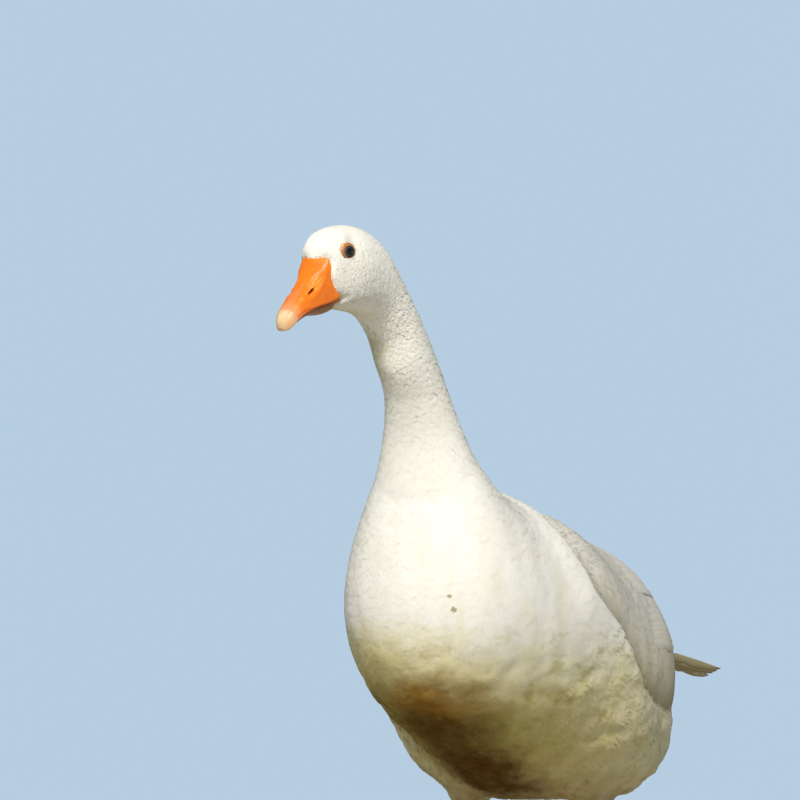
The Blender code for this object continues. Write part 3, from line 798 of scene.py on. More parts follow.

# %% [markdown]
# ## How smooth the coat lies
# The neck's feathers are tight and even, those of the rump, belly and jaw looser, and the crown and wings
# are nearly smooth. One value says how uneven the coat is, and another how much painted shade a point gets:
# most in the crease in front of the folded wing, and a little over the whole wing. With the lie, the length
# and the way round the spine, they are kept on the skin's points, where Geometry Nodes read them.

# %% Coat attributes
UNEVEN_RUN = (0.0, 0.35, 0.52, 0.62, 0.72, 0.82, 0.90, 1.0)
UNEVEN_BY = (0.30, 0.30, 0.08, 0.08, 0.12, 0.26, 0.26, 0.24)
UNEVEN_JAW, UNEVEN_BELLY, UNEVEN_WING, CROWN_SMOOTHER = 0.40, 0.20, 0.04, 0.90
JAW_PLACE, JAW_STRETCH, JAW_SIZE = (-0.016, 0.0, -0.006), (1.4, 2.6, 1.0), 0.0120
FOLD_PAINTED_SHADE, WING_PAINTED_SHADE = 0.60, 0.30
DEPTH_SPARE = 0.0002

uneven = np.interp(run, UNEVEN_RUN, UNEVEN_BY) * (1 - CROWN_SMOOTHER * ramp(head_up, 0.022, 0.036))
uneven += UNEVEN_JAW * bump(from_spot(head_places, JAW_PLACE, JAW_STRETCH), JAW_SIZE)
uneven += UNEVEN_BELLY * ramp(skin_points[:, 2], 0.27, 0.20)
uneven = np.where(wing_share > 0.5, UNEVEN_WING, uneven)

off_back = ramp(np.abs(skin_points[:, 0]), 0.070, 0.095)
# painted shade: deepest in the crease in front of the folded wing, lighter over the whole wing
crease = FOLD_PAINTED_SHADE * bump(from_edge - 0.004, 0.016) * wing_share * off_back
crease += WING_PAINTED_SHADE * wing_share

spoke = skin_points - np.stack([np.interp(run, runs / runs[-1], axis) for axis in knots.T], 1)
across = np.array([1.0, 0.0, 0.0])
around = np.stack([spoke @ across, (spoke * np.cross(way, across)).sum(1), run], 1)
for name, values in (
    ("crease", crease), ("lie", lie), ("outward", outward), ("quill", quill), ("depth", depth + DEPTH_SPARE),
    ("around", around), ("bare", bare), ("uneven", uneven), ("region", region),
):
    set_attribute(skin.data, name, values)
print("uneven from", round(float(uneven.min()), 2), "to", round(float(uneven.max()), 2))

# %% [markdown]
# ## Vanes
# A body feather shows only its outer half: a rounded vane whose edge frays into barbs. Each vane here is
# a few flat faces and a fringe of narrow points, in a square of one unit. A particle system could draw hair
# instead, but its strands would be lost in an export. A few different vanes are enough, because Geometry
# Nodes turn, stretch and mix them. Each point carries its height above the skin, from 0 at the root to 1 at
# the tip, and its place in the vane for the colour map.

# %% Vane shapes
vane_box = bpy.data.collections.new("vanes")
bpy.context.scene.collection.children.link(vane_box)


FRINGE_FROM, RISE_POWER = 0.58, 2.2
STATIONS_OF_VANE = ((0.0, 0.10), (0.30, 0.62), (FRINGE_FROM, 0.90))  # from root to tip, and how wide
BARB_OVERLAP = 1.25


def barb(t, width, barbs, reach, left, middle, right):
    """One point of the fringe, from its foot on the vane's last station to its tip: five points."""
    foot = []
    for at in (max(t - BARB_OVERLAP / barbs, -1), min(t + BARB_OVERLAP / barbs, 1)):
        foot.append(middle + ((left if at < 0 else right) - middle) * abs(at))
    across = (t * 0.90 + 0.10 * t * abs(t)) * width / 2 * 0.96
    tip = np.array([FRINGE_FROM + (1 - FRINGE_FROM) * reach, across, 0.0])
    centre = (foot[0] + foot[1]) / 2 * 0.45 + tip * 0.55
    half = (foot[1] - foot[0]) * 0.40
    return [foot[0], centre - half, centre + half, foot[1], tip]


def vane(name, seed, width, barbs, fringe, arch):
    """One vane in a unit square: x from root to tip, y across, and z 0. Its rise is a separate value."""
    rng = np.random.default_rng(seed)
    points, rise, faces = [], [], []
    for x, share in STATIONS_OF_VANE:
        for y in (-1, 0, 1):
            points.append(np.array([x, y * share * width / 2, 0.0]))
            rise.append(1 - (1 - x) ** RISE_POWER - arch * abs(y) * share)
    for a in (0, 3):
        faces += [(a, a + 3, a + 4, a + 1), (a + 1, a + 4, a + 5, a + 2)]
    ends = points[-3:]
    foot_rise = 1 - (1 - FRINGE_FROM) ** RISE_POWER
    for t in np.linspace(-1, 1, barbs):
        n, drop = len(points), arch * abs(t)
        points += barb(t, width, barbs, 1 - 0.30 * t * t - fringe * rng.random(), *ends)
        rise += [foot_rise - drop * 0.9, 0.97 - drop, 0.97 - drop, foot_rise - drop * 0.9, 1.0 - drop]
        faces += [(n, n + 1, n + 2, n + 3), (n + 1, n + 4, n + 2)]
    obj = make(name, points, faces)
    obj.data.shade_smooth()
    set_attribute(obj.data, "rise", np.array(rise))
    set_attribute(obj.data, "vane_place", np.array(points) + (0.0, 0.5, 0.0))
    bpy.context.scene.collection.objects.unlink(obj)
    return obj


def vane_set(name, seeds, **shape):
    box = bpy.data.collections.new(name)
    vane_box.children.link(box)
    for seed in seeds:
        box.objects.link(vane(f"{name}_{seed}", seed, **shape))
    return box


small_vanes = vane_set("small_vanes", (1, 2, 3), width=0.55, barbs=4, fringe=0.45, arch=0.10)
full_vanes = vane_set("full_vanes", (4, 5, 6, 7), width=0.46, barbs=7, fringe=0.60, arch=0.10)
flat_vanes = vane_set("flat_vanes", (12, 13, 14, 15), width=0.52, barbs=10, fringe=0.45, arch=0.02)
loose_vanes = vane_set("loose_vanes", (8, 9, 10, 11), width=0.50, barbs=10, fringe=0.75, arch=0.08)
vane_box.hide_render = True
vane_box.hide_viewport = True

# %% [markdown]
# ## The coat as Geometry Nodes
# Thousands of feathers that repeat over a surface are work for Geometry Nodes. The tree scatters roots at an
# even spacing, turns a vane along the lie at each, and stretches it to the feather's length. Then every point
# of every vane is laid back on the skin at its own height, so a feather bends round the neck as a real one
# does. The same tree makes each part of the coat, with its own spacing and share of the feather lengths.

# %% Coat tree helpers
PATCH = 0.003  # a feather's patch on the colour map
MAP_MARGIN = 0.02
COAT_INPUTS = (
    ("Geometry", "Geometry"), ("Vanes", "Collection"), ("Spacing", "Float"), ("Shortest", "Float"),
    ("Longest", "Float"), ("Region", "Float"), ("Ruffle", "Float"), ("Width", "Float"),
    ("Stretch", "Float"), ("Loft", "Float"), ("Seed", "Int"), ("Map Low", "Vector"),
    ("Map High", "Vector"), ("Finish", "Material"),
)


def named(web, name, kind="FLOAT"):
    """An attribute that Geometry Nodes read by its name."""
    return web.add("GeometryNodeInputNamedAttribute", {"data_type": kind}, {"Name": name}, "Attribute")


def stored(web, geometry, name, value, kind="FLOAT", domain="POINT"):
    """The geometry with a value kept on it under a name."""
    return web.add("GeometryNodeStoreNamedAttribute", {"data_type": kind, "domain": domain}, {
        "Geometry": geometry, "Name": name, "Value": value,
    })


def map_place(web, given):
    """A root's place on an unwrap of the skin, plus the point's place in its own feather's patch."""
    turned = web.apart(named(web, "around", "FLOAT_VECTOR"))
    angle = web.call("ARCTAN2", turned.also("Y"), turned)
    flat = web.add("ShaderNodeCombineXYZ", None, {0: angle / (2 * math.pi) + 0.5, 1: turned.also("Z")})
    flat = (flat - given("Map Low")) / (given("Map High") - given("Map Low"))
    flat = flat * (1 - 2 * MAP_MARGIN) + (MAP_MARGIN, MAP_MARGIN, 0.0)
    return flat + (named(web, "vane_place", "FLOAT_VECTOR") - (0.5, 0.5, 0.0)) * PATCH


print("the coat's tree takes", len(COAT_INPUTS), "inputs")

# %% [markdown]
# ## The tree itself
# It reads from top to bottom as a feather grows: choose the places, scatter the roots, give each root a
# heading, a size and a loft, set a vane there, make the copies real, bend each vane to the skin, and give
# its points a place on the colour map. The copies are made real because an export drops instances.


# %% Coat tree
def coat_tree():
    tree = bpy.data.node_groups.new("feather_coat", "GeometryNodeTree")
    for name, kind in COAT_INPUTS:
        tree.interface.new_socket(name, in_out="INPUT", socket_type="NodeSocket" + kind)
    tree.interface.new_socket("Geometry", in_out="OUTPUT", socket_type="NodeSocketGeometry")
    web = Web(tree)
    skin_in = web.add("NodeGroupInput", out="Geometry")
    given = skin_in.also
    length, height = named(web, "quill"), named(web, "depth")
    lie_way, up_way = named(web, "lie", "FLOAT_VECTOR"), named(web, "outward", "FLOAT_VECTOR")
    chosen = web.call("GREATER_THAN", length, given("Shortest"))
    chosen = chosen * web.call("LESS_THAN", length, given("Longest"))
    chosen = chosen * web.call("LESS_THAN", named(web, "bare"), 0.5)
    other_region = web.call("ABSOLUTE", named(web, "region") - given("Region"))
    chosen = chosen * web.call("LESS_THAN", other_region, 0.5)
    roots = web.add("GeometryNodeDistributePointsOnFaces", {"distribute_method": "POISSON"}, {
        "Mesh": skin_in, "Selection": chosen, "Distance Min": given("Spacing"),
        "Density Max": 1.6 / (given("Spacing") * given("Spacing")), "Seed": given("Seed"),
    }, "Points")

    def chance(low, high, key):
        sockets = {2: low, 3: high, "Seed": given("Seed") + key}
        return web.add("FunctionNodeRandomValue", {"data_type": "FLOAT"}, sockets, 1)

    spot = web.add("GeometryNodeInputPosition")
    clump = (web.noise(spot, 230.0, 1.0) - 0.5) * 2.8
    bend = (web.noise(spot + (0.3, 0.1, 0.2), 170.0, 1.0) - 0.5) * 1.6
    loose = named(web, "uneven")
    yaw = chance(-1.0, 1.0, 11) * (given("Ruffle") + loose * 0.3) + bend * loose
    turn = {"Vector": lie_way, "Axis": up_way, "Angle": yaw}
    heading = web.add("ShaderNodeVectorRotate", {"rotation_type": "AXIS_ANGLE"}, turn)
    axes = {"Primary Axis": up_way, "Secondary Axis": heading}
    facing = web.add("FunctionNodeAxesToRotation", {"primary_axis": "Z", "secondary_axis": "X"}, axes)
    size = length * given("Stretch") * chance(0.82, 1.16, 23)
    wide = size * given("Width") * chance(0.88, 1.14, 37)
    scale = web.add("ShaderNodeCombineXYZ", None, {0: size, 1: wide, 2: size})
    shapes = web.add("GeometryNodeCollectionInfo", None, {
        "Collection": given("Vanes"), "Separate Children": True, "Reset Children": True,
    })
    lofty = web.call("MAXIMUM", loose * (clump + chance(-0.6, 0.3, 51)) + 1.0, 0.15)
    laid = web.add("GeometryNodeInstanceOnPoints", None, {
        "Points": stored(web, roots, "loft", height * given("Loft") * lofty),
        "Instance": shapes, "Pick Instance": True, "Rotation": facing, "Scale": scale,
    })
    real = web.add("GeometryNodeRealizeInstances", None, {"Geometry": laid})
    here = web.add("GeometryNodeInputPosition")

    def on_skin(value, kind="FLOAT_VECTOR"):
        sockets = {"Mesh": skin_in, "Value": value, "Sample Position": here}
        return web.add("GeometryNodeSampleNearestSurface", {"data_type": kind}, sockets, "Value")

    real = stored(web, real, "skin_way", on_skin(up_way), "FLOAT_VECTOR")
    # the painted shade goes from the skin onto the vanes
    real = stored(web, real, "crease", on_skin(named(web, "crease"), "FLOAT"))
    height = named(web, "loft") * named(web, "rise")
    lifted = on_skin(here) + named(web, "skin_way", "FLOAT_VECTOR") * height
    bent = web.add("GeometryNodeSetPosition", None, {"Geometry": real, "Position": lifted})
    mapped = stored(web, bent, "OFBake", map_place(web, given), "FLOAT2", "CORNER")
    done = web.add("GeometryNodeSetMaterial", None, {"Geometry": mapped, "Material": given("Finish")})
    web.add("NodeGroupOutput", None, {"Geometry": done})
    return tree


feather_coat = coat_tree()
feather_inputs = {s.name: s.identifier for s in feather_coat.interface.items_tree if s.in_out == "INPUT"}
print("coat tree", len(feather_coat.nodes), "nodes")

# %% [markdown]
# ## Feathering the skin
# Feathers are smallest on the face and longest on the rump, so the coat is made in parts by feather length,
# each at a spacing that suits it. The wings' small coverts are a part of their own. Live feathers are held
# together so tightly that the coat shades as one soft surface. So the normals of the vanes are mixed with
# those of the skin below, most on the crown, and least where the coat should look ruffled.

# %% Coat pieces
CROWN_UP, CROWN_SLEEK = (0.016, 0.030), 0.92
RUN_SPARE = 1e-4
ONLY_FOR_NODES = ("lie", "outward", "quill", "depth", "around", "bare", "uneven", "region",
                  "rise", "loft", "vane_place", "skin_way")
coat_pieces = []


def sleeken(mesh, sleek):
    """Turns a coat's normals towards those of the skin below it."""
    below = np.empty(len(mesh.vertices) * 3, np.float32)
    mesh.attributes["skin_way"].data.foreach_get("vector", below)
    below = below.reshape(-1, 3)
    places, corners = read(mesh)
    own = normals_of(places, corners)
    own *= np.sign((own * below).sum(1))[:, None]
    share = (sleek + (CROWN_SLEEK - sleek) * ramp(in_head(places)[:, 2], *CROWN_UP))[:, None]
    mesh.normals_split_custom_set_from_vertices(((1 - share) * own + share * below).tolist())


def coat(name, vanes, spacing, lengths, seed, sleek,
         ruffle=0.12, region_of=BODY, width=1.0, stretch=1.0, loft=1.0):
    """One part of the coat as a plain mesh. sleek is how much its shading follows the skin below."""
    chosen = (quill > lengths[0]) & (quill < lengths[1]) & (abs(region - region_of) < 0.5)
    low = (0.0, float(run[chosen].min()) - RUN_SPARE, 0.0)
    high = (1.0, float(run[chosen].max()) + RUN_SPARE, 1.0)
    source = skin.copy()
    source.data = skin.data
    bpy.context.scene.collection.objects.link(source)
    change = source.modifiers.new("coat", "NODES")
    change.node_group = feather_coat
    for key, value in (
        ("Vanes", vanes), ("Spacing", spacing), ("Shortest", lengths[0]), ("Longest", lengths[1]),
        ("Region", region_of), ("Ruffle", ruffle), ("Width", width), ("Stretch", stretch),
        ("Loft", loft), ("Seed", seed), ("Map Low", low), ("Map High", high),
        ("Finish", plumage_finish),
    ):
        change[feather_inputs[key]] = value
    settle(source)
    source.name = source.data.name = name
    source.data.shade_smooth()
    sleeken(source.data, sleek)
    for extra in ONLY_FOR_NODES:
        if extra in source.data.attributes:
            source.data.attributes.remove(source.data.attributes[extra])
    coat_pieces.append(source)
    source.data.calc_loop_triangles()
    print(name, len(source.data.loop_triangles), "triangles")


coat("coat_face", small_vanes, 0.00095, (0.0, 0.0040), 3, 0.35, ruffle=0.22, stretch=1.25)
coat("coat_head", small_vanes, 0.00120, (0.0040, 0.0068), 5, 0.45, ruffle=0.18, stretch=1.25)
coat("coat_nape", full_vanes, 0.00170, (0.0068, 0.0105), 7, 0.50, ruffle=0.16, stretch=1.1)
coat("coat_neck", full_vanes, 0.00230, (0.0105, 0.0170), 9, 0.60, ruffle=0.10, stretch=1.1)
coat("coat_breast", flat_vanes, 0.00310, (0.0170, 0.0285), 11, 0.75, ruffle=0.08, stretch=1.2)
coat("coat_body", loose_vanes, 0.00380, (0.0285, 0.0500), 13, 0.60)
coat("coat_wings", loose_vanes, 0.00380, (0.0, 0.0500), 15, 0.80,
     ruffle=0.03, region_of=WINGS, width=0.6, loft=0.5)
skin.data.materials.append(plumage_finish)

# %% [markdown]
# ## Horn of the bill
# The bill's two halves and its nail are smooth horn. Copies of the solids are remeshed finely and shaped in
# the head's own measure. The upper half has a long oval hollow on each side with the nostril's slit in it,
# soft folds behind the nostril, and a rolled edge along the gape. All are worked out on one side, with the
# other as its mirror.

# %% Upper bill relief
NOSTRIL = np.array([0.0300, 0.0118, 0.0118])
HOLLOW_FROM_NOSTRIL = np.array([-0.0045, 0.0, 0.0039])
HOLLOW_TILT, HOLLOW_HALF = 22, (0.0135, 0.0056)  # degrees; half its length and height
SLIT_TILT, SLIT_HALF = 14, (0.0046, 0.00085)
FOLD_EVERY = 0.0036
EDGE_ALONG, EDGE_UP = (0.005, 0.023, 0.045, 0.066), (-0.0002, 0.0012, 0.0004, -0.004)
HOLLOW_BY, RIM_BY, FOLD_BY, SLIT_BY, EDGE_BY, GRAIN_BY = -0.0012, 0.00022, 0.00022, -0.0018, -0.00040, 0.00010


def horn(name, node_names, voxel, rounds, by=0.0):
    return remeshed(name, [grown(rounded(node_solid(n)), by) for n in node_names], voxel, rounds)


bill_upper = horn("bill_upper_horn", ["bill_upper"], 0.00050, 8, 0.0002)
points, corners = read(bill_upper.data)
outwards = normals_of(points, corners)
place = in_head(points)
along, out, up = place[:, 0], np.abs(place[:, 1]), place[:, 2]
sided = np.stack([along, out, up], 1)


def along_slope(centre, degrees):
    """How far points lie along and across a line on the bill's side that slopes back and up."""
    tilt = math.radians(degrees)
    gap = sided - centre
    return (gap[:, 0] * math.cos(tilt) - gap[:, 2] * math.sin(tilt),
            gap[:, 0] * math.sin(tilt) + gap[:, 2] * math.cos(tilt))


on_side = ramp(outwards @ head_axes[1] * np.sign(place[:, 1]), 0.20, 0.50)
lengthwise, crosswise = along_slope(NOSTRIL + HOLLOW_FROM_NOSTRIL, HOLLOW_TILT)
oval = np.hypot(lengthwise / HOLLOW_HALF[0], crosswise / HOLLOW_HALF[1])
hollow = ramp(oval, 1.15, 0.45) * on_side
folds = np.sin(crosswise * 2 * math.pi / FOLD_EVERY + lengthwise * 120)
folds *= bump(oval, 0.75) * ramp(lengthwise, 0.002, -0.004) * on_side
rim = bump(oval - 1.12, 0.16) * on_side
lengthwise, crosswise = along_slope(NOSTRIL, SLIT_TILT)
slit = bump(np.hypot(lengthwise / SLIT_HALF[0], crosswise / SLIT_HALF[1]), 1.0) * on_side
edge = bump(up - np.interp(along, EDGE_ALONG, EDGE_UP), 0.0010) * on_side
grain = np.array([noise.noise(Vector(p * 420)) for p in place])
raise_by = HOLLOW_BY * hollow + RIM_BY * rim + FOLD_BY * folds
raise_by += SLIT_BY * slit + EDGE_BY * edge + GRAIN_BY * grain
points = points + raise_by[:, None] * outwards
print("upper bill", len(points), "points")

# %% [markdown]
# ## Root of the bill
# At its root the upper bill is wider than its solid. Its upper corners flare out and back under the face's
# feathers, and its lower edge hangs further down over the lower half. Both fade out before the bill's
# middle, so its ridge and tip stay where they are.

# %% Upper bill root
FLARE_OUT, FLARE_BACK, LET_DOWN = 0.0026, 0.0034, 0.0064

corner = bump(out - 0.0100, 0.0055) * ramp(up, 0.012, 0.024) * ramp(along, 0.020, 0.008)
outward_each = np.sign(place[:, 1])[:, None] * np.array(OUT)
points += corner[:, None] * (outward_each * FLARE_OUT - np.array(ALONG) * FLARE_BACK)
hanging = ramp(up, 0.0110, 0.0030) * ramp(along, 0.050, 0.010) * ramp(out, 0.0030, 0.0070)
points -= (LET_DOWN * hanging)[:, None] * np.array(UP)
write(bill_upper.data, points)
for name, values in (("bill_place", place), ("slit", slit), ("hollow", hollow), ("edge", edge)):
    set_attribute(bill_upper.data, name, values)
print("root of the bill let down by", round(float(LET_DOWN * hanging.max()), 4))

# %% [markdown]
# ## Nail and lower bill
# The nail is the hard tip of the upper half. The lower half is narrower: its tip lies up inside the upper
# one, and its middle hangs a little lower.

# %% Nail and lower bill
TIP_TUCKED, MIDDLE_SUNK = 0.0030, 0.0032

bill_nail = horn("bill_nail_horn", ["bill_nail"], 0.00045, 8, 0.0004)
set_attribute(bill_nail.data, "bill_place", in_head(read(bill_nail.data)[0]))

bill_lower = horn("bill_lower_horn", ["bill_lower"], 0.00050, 8, 0.0002)
points = read(bill_lower.data)[0]
place = in_head(points)
set_attribute(bill_lower.data, "bill_place", place)
tucked = ramp(place[:, 0], 0.022, 0.046)
sunk = ramp(place[:, 0], 0.040, 0.016) * ramp(place[:, 0], 0.003, 0.012)
write(bill_lower.data, points + (TIP_TUCKED * tucked - MIDDLE_SUNK * sunk)[:, None] * np.array(UP))
print("bill", [len(o.data.polygons) for o in (bill_upper, bill_nail, bill_lower)], "faces")

# %% [markdown]
# ## Colours of the bill
# A farm goose's bill is orange, paler in the hollows and rosy along the ridge and tip. The nail is cream and
# the lower half browner. The finishes read each point's place in the head's measure from an attribute, so
# the colours follow the bill although the head is turned. The hollow that shaped it tints it too, and the
# slit and the edge along the gape carry painted shade.

# %% Bill finishes
ORANGE = (0.87, 0.175, 0.008)
AMBER = (0.90, 0.260, 0.012)
ROSE, ROSY_TIP = (0.84, 0.260, 0.110), (0.85, 0.33, 0.15)
BILL_PORE, GAPE_SHADE, NOSTRIL_SHADE = (0.62, 0.15, 0.02), (0.42, 0.07, 0.01), (0.10, 0.022, 0.006)
NAIL_CREAM, NAIL_PALE = (0.78, 0.56, 0.31), (0.86, 0.68, 0.47)
NAIL_ROOT, NAIL_SIDE, NAIL_TIP = (0.84, 0.33, 0.14), (0.66, 0.33, 0.14), (0.58, 0.36, 0.15)
LOWER_HORN, LOWER_PALE = (0.52, 0.24, 0.105), (0.64, 0.34, 0.16)
LOWER_SIDE, LOWER_ROOT = (0.15, 0.065, 0.035), (0.62, 0.16, 0.020)


def bill_finish(name):
    """A new horn material, and what its colours are read from: places along and out, and a mottle."""
    made, web, shader = finish_of(name, Roughness=0.42, Specular_IOR_Level=0.35)
    place = web.painted("bill_place", "Vector")
    along = web.apart(place)
    out, mottle = web.call("ABSOLUTE", along.also("Y")), web.noise(place, 160.0, 3.0)
    return made, web, shader, place, along, out, mottle


def upper_finish():
    made, web, shader, place, along, out, mottle = bill_finish("bill_upper_horn")
    fine = web.noise(place, 900.0, 2.0)
    colour = web.mix(web.step(mottle, 0.3, 0.7) * 0.45, ORANGE, AMBER)
    colour = web.mix(web.step(web.painted("hollow"), 0.15, 0.85) * 0.75, colour, AMBER)
    colour = web.mix(web.step(along, 0.012, 0.004) * 0.55, colour, AMBER)
    ridge = web.step(out, 0.0065, 0.0015) * web.step(along, 0.020, 0.050)
    colour = web.mix(ridge * 0.70, colour, ROSE)
    colour = web.mix(web.step(along, 0.044, 0.055) * 0.75, colour, ROSY_TIP)
    colour = web.mix(web.step(fine, 0.45, 0.75) * 0.12, colour, BILL_PORE)
    # painted shade along the gape, where the upper half overhangs the lower
    colour = web.mix(web.step(web.painted("edge"), 0.45, 0.95) * 0.55, colour, GAPE_SHADE)
    # painted shade in the nostril's slit
    colour = web.mix(web.step(web.painted("slit"), 0.30, 0.75) * 0.85, colour, NOSTRIL_SHADE)
    height = fine + mottle * 0.8
    bumps = web.add("ShaderNodeBump", None, {"Strength": 0.25, "Distance": 0.0004, "Height": height})
    feed(web, shader, Base_Color=colour, Normal=bumps, Roughness=0.30 + mottle * 0.22)
    return made


def nail_finish():
    made, web, shader, place, along, out, mottle = bill_finish("bill_nail_horn")
    colour = web.mix(web.step(mottle, 0.3, 0.7), NAIL_CREAM, NAIL_PALE)
    colour = web.mix(web.step(along, 0.0610, 0.0525) * 0.90, colour, NAIL_ROOT)
    colour = web.mix(web.step(out, 0.0025, 0.0070) * 0.75, colour, NAIL_SIDE)
    colour = web.mix(web.step(along, 0.0610, 0.0655) * 0.65, colour, NAIL_TIP)
    feed(web, shader, Base_Color=colour, Roughness=0.28 + mottle * 0.18)
    return made


def lower_finish():
    made, web, shader, place, along, out, mottle = bill_finish("bill_lower_horn")
    colour = web.mix(web.step(mottle, 0.3, 0.7) * 0.6, LOWER_HORN, LOWER_PALE)
    colour = web.mix(web.step(out, 0.0050, 0.0080) * 0.5, colour, LOWER_SIDE)
    colour = web.mix(web.step(along, 0.012, 0.005) * 0.80, colour, LOWER_ROOT)
    feed(web, shader, Base_Color=colour, Roughness=0.40 + mottle * 0.2)
    return made


bill_upper.data.materials.append(upper_finish())
bill_nail.data.materials.append(nail_finish())
bill_lower.data.materials.append(lower_finish())
print("bill finishes ready")

# %% [markdown]
# ## Eyeballs
# A goose's eye is a wet ball with a clear swelling in front. It is turned about its line of sight, like a
# pot on a wheel. One value at each point, the angle from the line of sight, is all that the finish needs
# to draw the pupil, the grey-blue iris and its dark rim.

# %% Eyeballs
EYE_RINGS, EYE_SPOKES, EYE_POLE = 22, 32, 0.06
SWELLING, SWELLING_SIZE = 0.055, 0.50
GAZE = {side: (from_head(0.26, sign, 0.12) - from_head(0, 0, 0)).normalized() for side, sign in SIGNS.items()}


def eye_axes(side):
    sight = GAZE[side]
    forwards = (ALONG - sight * ALONG.dot(sight)).normalized()
    return [np.array(axis) for axis in (sight, forwards, sight.cross(forwards))]


def revolve(side, rings, spokes, shape):
    """A surface turned about the line of sight. shape gives (out, forwards) for a ring and an angle."""
    sight, forwards, third = eye_axes(side)
    points = []
    for ring in rings:
        for angle in np.linspace(0, 2 * math.pi, spokes, endpoint=False):
            out, ahead = shape(ring, angle)
            way = forwards * math.cos(angle) + third * math.sin(angle)
            points.append(np.array(eye_centres[side]) + way * out + sight * ahead)
    return points


def ring_faces(rings, spokes, closed):
    """Four-sided faces between rings of points, and from the last ring to the first if closed."""
    faces = []
    for i in range(rings if closed else rings - 1):
        for j in range(spokes):
            k, n = (j + 1) % spokes, (i + 1) % rings
            faces.append((i * spokes + j, n * spokes + j, n * spokes + k, i * spokes + k))
    return faces


def eyeball(side):
    angles = np.linspace(EYE_POLE, math.pi - EYE_POLE, EYE_RINGS)

    def shape(theta, _):
        radius = eye_radius * (0.985 + SWELLING * math.exp(-((theta / SWELLING_SIZE) ** 2)))
        return radius * math.sin(theta), radius * math.cos(theta)

    faces = ring_faces(EYE_RINGS, EYE_SPOKES, closed=False)
    faces.append(tuple(range(EYE_SPOKES)))
    faces.append(tuple(reversed(range((EYE_RINGS - 1) * EYE_SPOKES, EYE_RINGS * EYE_SPOKES))))
    obj = make("eyeball_" + side, revolve(side, angles, EYE_SPOKES, shape), faces)
    obj.data.shade_smooth()
    set_attribute(obj.data, "gaze", np.repeat(angles, EYE_SPOKES))
    points, corners = read(obj.data)
    if np.linalg.det(points[corners] - points.mean(axis=0)).sum() < 0:
        obj.data.flip_normals()
    return obj


eyeballs = {side: eyeball(side) for side in SIDES}
print("eyes", len(eyeballs["left"].data.polygons), "faces each")

# %% [markdown]
# ## Lids
# The lids are a thin fleshy ring round the eye, a little pointed towards the bill and heavier above. The
# same wheel turns them from a closed outline, and the shape function pulls the ring into an almond.

# %% Lids
LID_SPOKES, LID_FOLDS = 48, 9
LID_PROFILE = (  # out from the line of sight and forwards along it, as shares of the eye's radius
    (0.560, 0.830), (0.595, 0.885), (0.690, 0.880), (0.830, 0.785), (0.970, 0.620),
    (1.050, 0.440), (0.860, 0.380), (0.640, 0.700),
)


def lids(side):
    def shape(point, angle):
        out, ahead = point
        above = max(0.0, -SIGNS[side] * math.sin(angle) + 0.35 * math.cos(angle)) ** 2 * (out > 0.8)
        from_bill = angle - (angle > math.pi) * 2 * math.pi
        pointed = 0.045 * math.exp(-((from_bill / 0.35) ** 2))
        almond = 1 + 0.13 * above + 0.050 * math.cos(2 * angle) + pointed
        fold = 1 + 0.035 * math.sin(LID_FOLDS * angle) * (out > 0.9)
        return eye_radius * out * almond * fold, eye_radius * ahead

    points = revolve(side, LID_PROFILE, LID_SPOKES, shape)
    obj = make("lids_" + side, points, ring_faces(len(LID_PROFILE), LID_SPOKES, closed=True))
    change = obj.modifiers.new("smooth", "SUBSURF")
    change.levels = change.render_levels = 1
    settle(obj)
    obj.data.shade_smooth()
    points, corners = read(obj.data)
    gap = (points - np.array(eye_centres[side])) / eye_radius
    sight = eye_axes(side)[0]
    ahead = gap @ sight
    set_attribute(obj.data, "lid_ring", np.linalg.norm(gap - ahead[:, None] * sight, axis=1))
    if ((normals_of(points, corners) @ sight) * (ahead > 0.7)).sum() < 0:
        obj.data.flip_normals()
    return obj


lid_rings = {side: lids(side) for side in SIDES}
print("lids", len(lid_rings["left"].data.polygons), "faces each")

# %% [markdown]
# ## Colours of eye and lid
# Seen close, the iris is streaked grey-blue round a black pupil. A clear coat gives the wet shine without
# making the colours glossy. The lids are brownish orange, dark where they meet the eye and pale outside.

# %% Eye and lid finishes
IRIS_DARK, IRIS_LIGHT, IRIS_RIM = (0.022, 0.038, 0.066), (0.048, 0.074, 0.118), (0.008, 0.008, 0.010)
PUPIL = (0.003, 0.003, 0.004)
LID_DARK, LID_LIGHT, LID_INNER, LID_RIM = (
    (0.30, 0.105, 0.022), (0.46, 0.19, 0.050), (0.022, 0.010, 0.005), (0.74, 0.42, 0.18))


def eye_finish():
    made, web, shader = finish_of(
        "eye", Roughness=0.25, Specular_IOR_Level=0.3, Coat_Weight=0.4, Coat_Roughness=0.03)
    gaze = web.painted("gaze")
    streaks = web.noise(web.object_place(), 1500.0, 3.0)
    iris = web.mix(web.step(streaks, 0.35, 0.65), IRIS_DARK, IRIS_LIGHT)
    iris = web.mix(web.step(gaze, 0.58, 0.72), iris, IRIS_RIM)
    feed(web, shader, Base_Color=web.mix(web.step(gaze, 0.460, 0.410), iris, PUPIL))
    return made


def lid_finish():
    made, web, shader = finish_of("lid", Roughness=0.45)
    ring = web.painted("lid_ring")
    spot = web.noise(web.object_place(), 700.0, 3.0)
    colour = web.mix(web.step(spot, 0.35, 0.65), LID_DARK, LID_LIGHT)
    colour = web.mix(web.step(ring, 0.700, 0.620), colour, LID_INNER)
    colour = web.mix(web.step(ring, 0.90, 1.06) * 0.65, colour, LID_RIM)
    feed(web, shader, Base_Color=colour)
    return made


eye_material, lid_material = eye_finish(), lid_finish()
for side in SIDES:
    eyeballs[side].data.materials.append(eye_material)
    lid_rings[side].data.materials.append(lid_material)
print("eye and lid finishes ready")

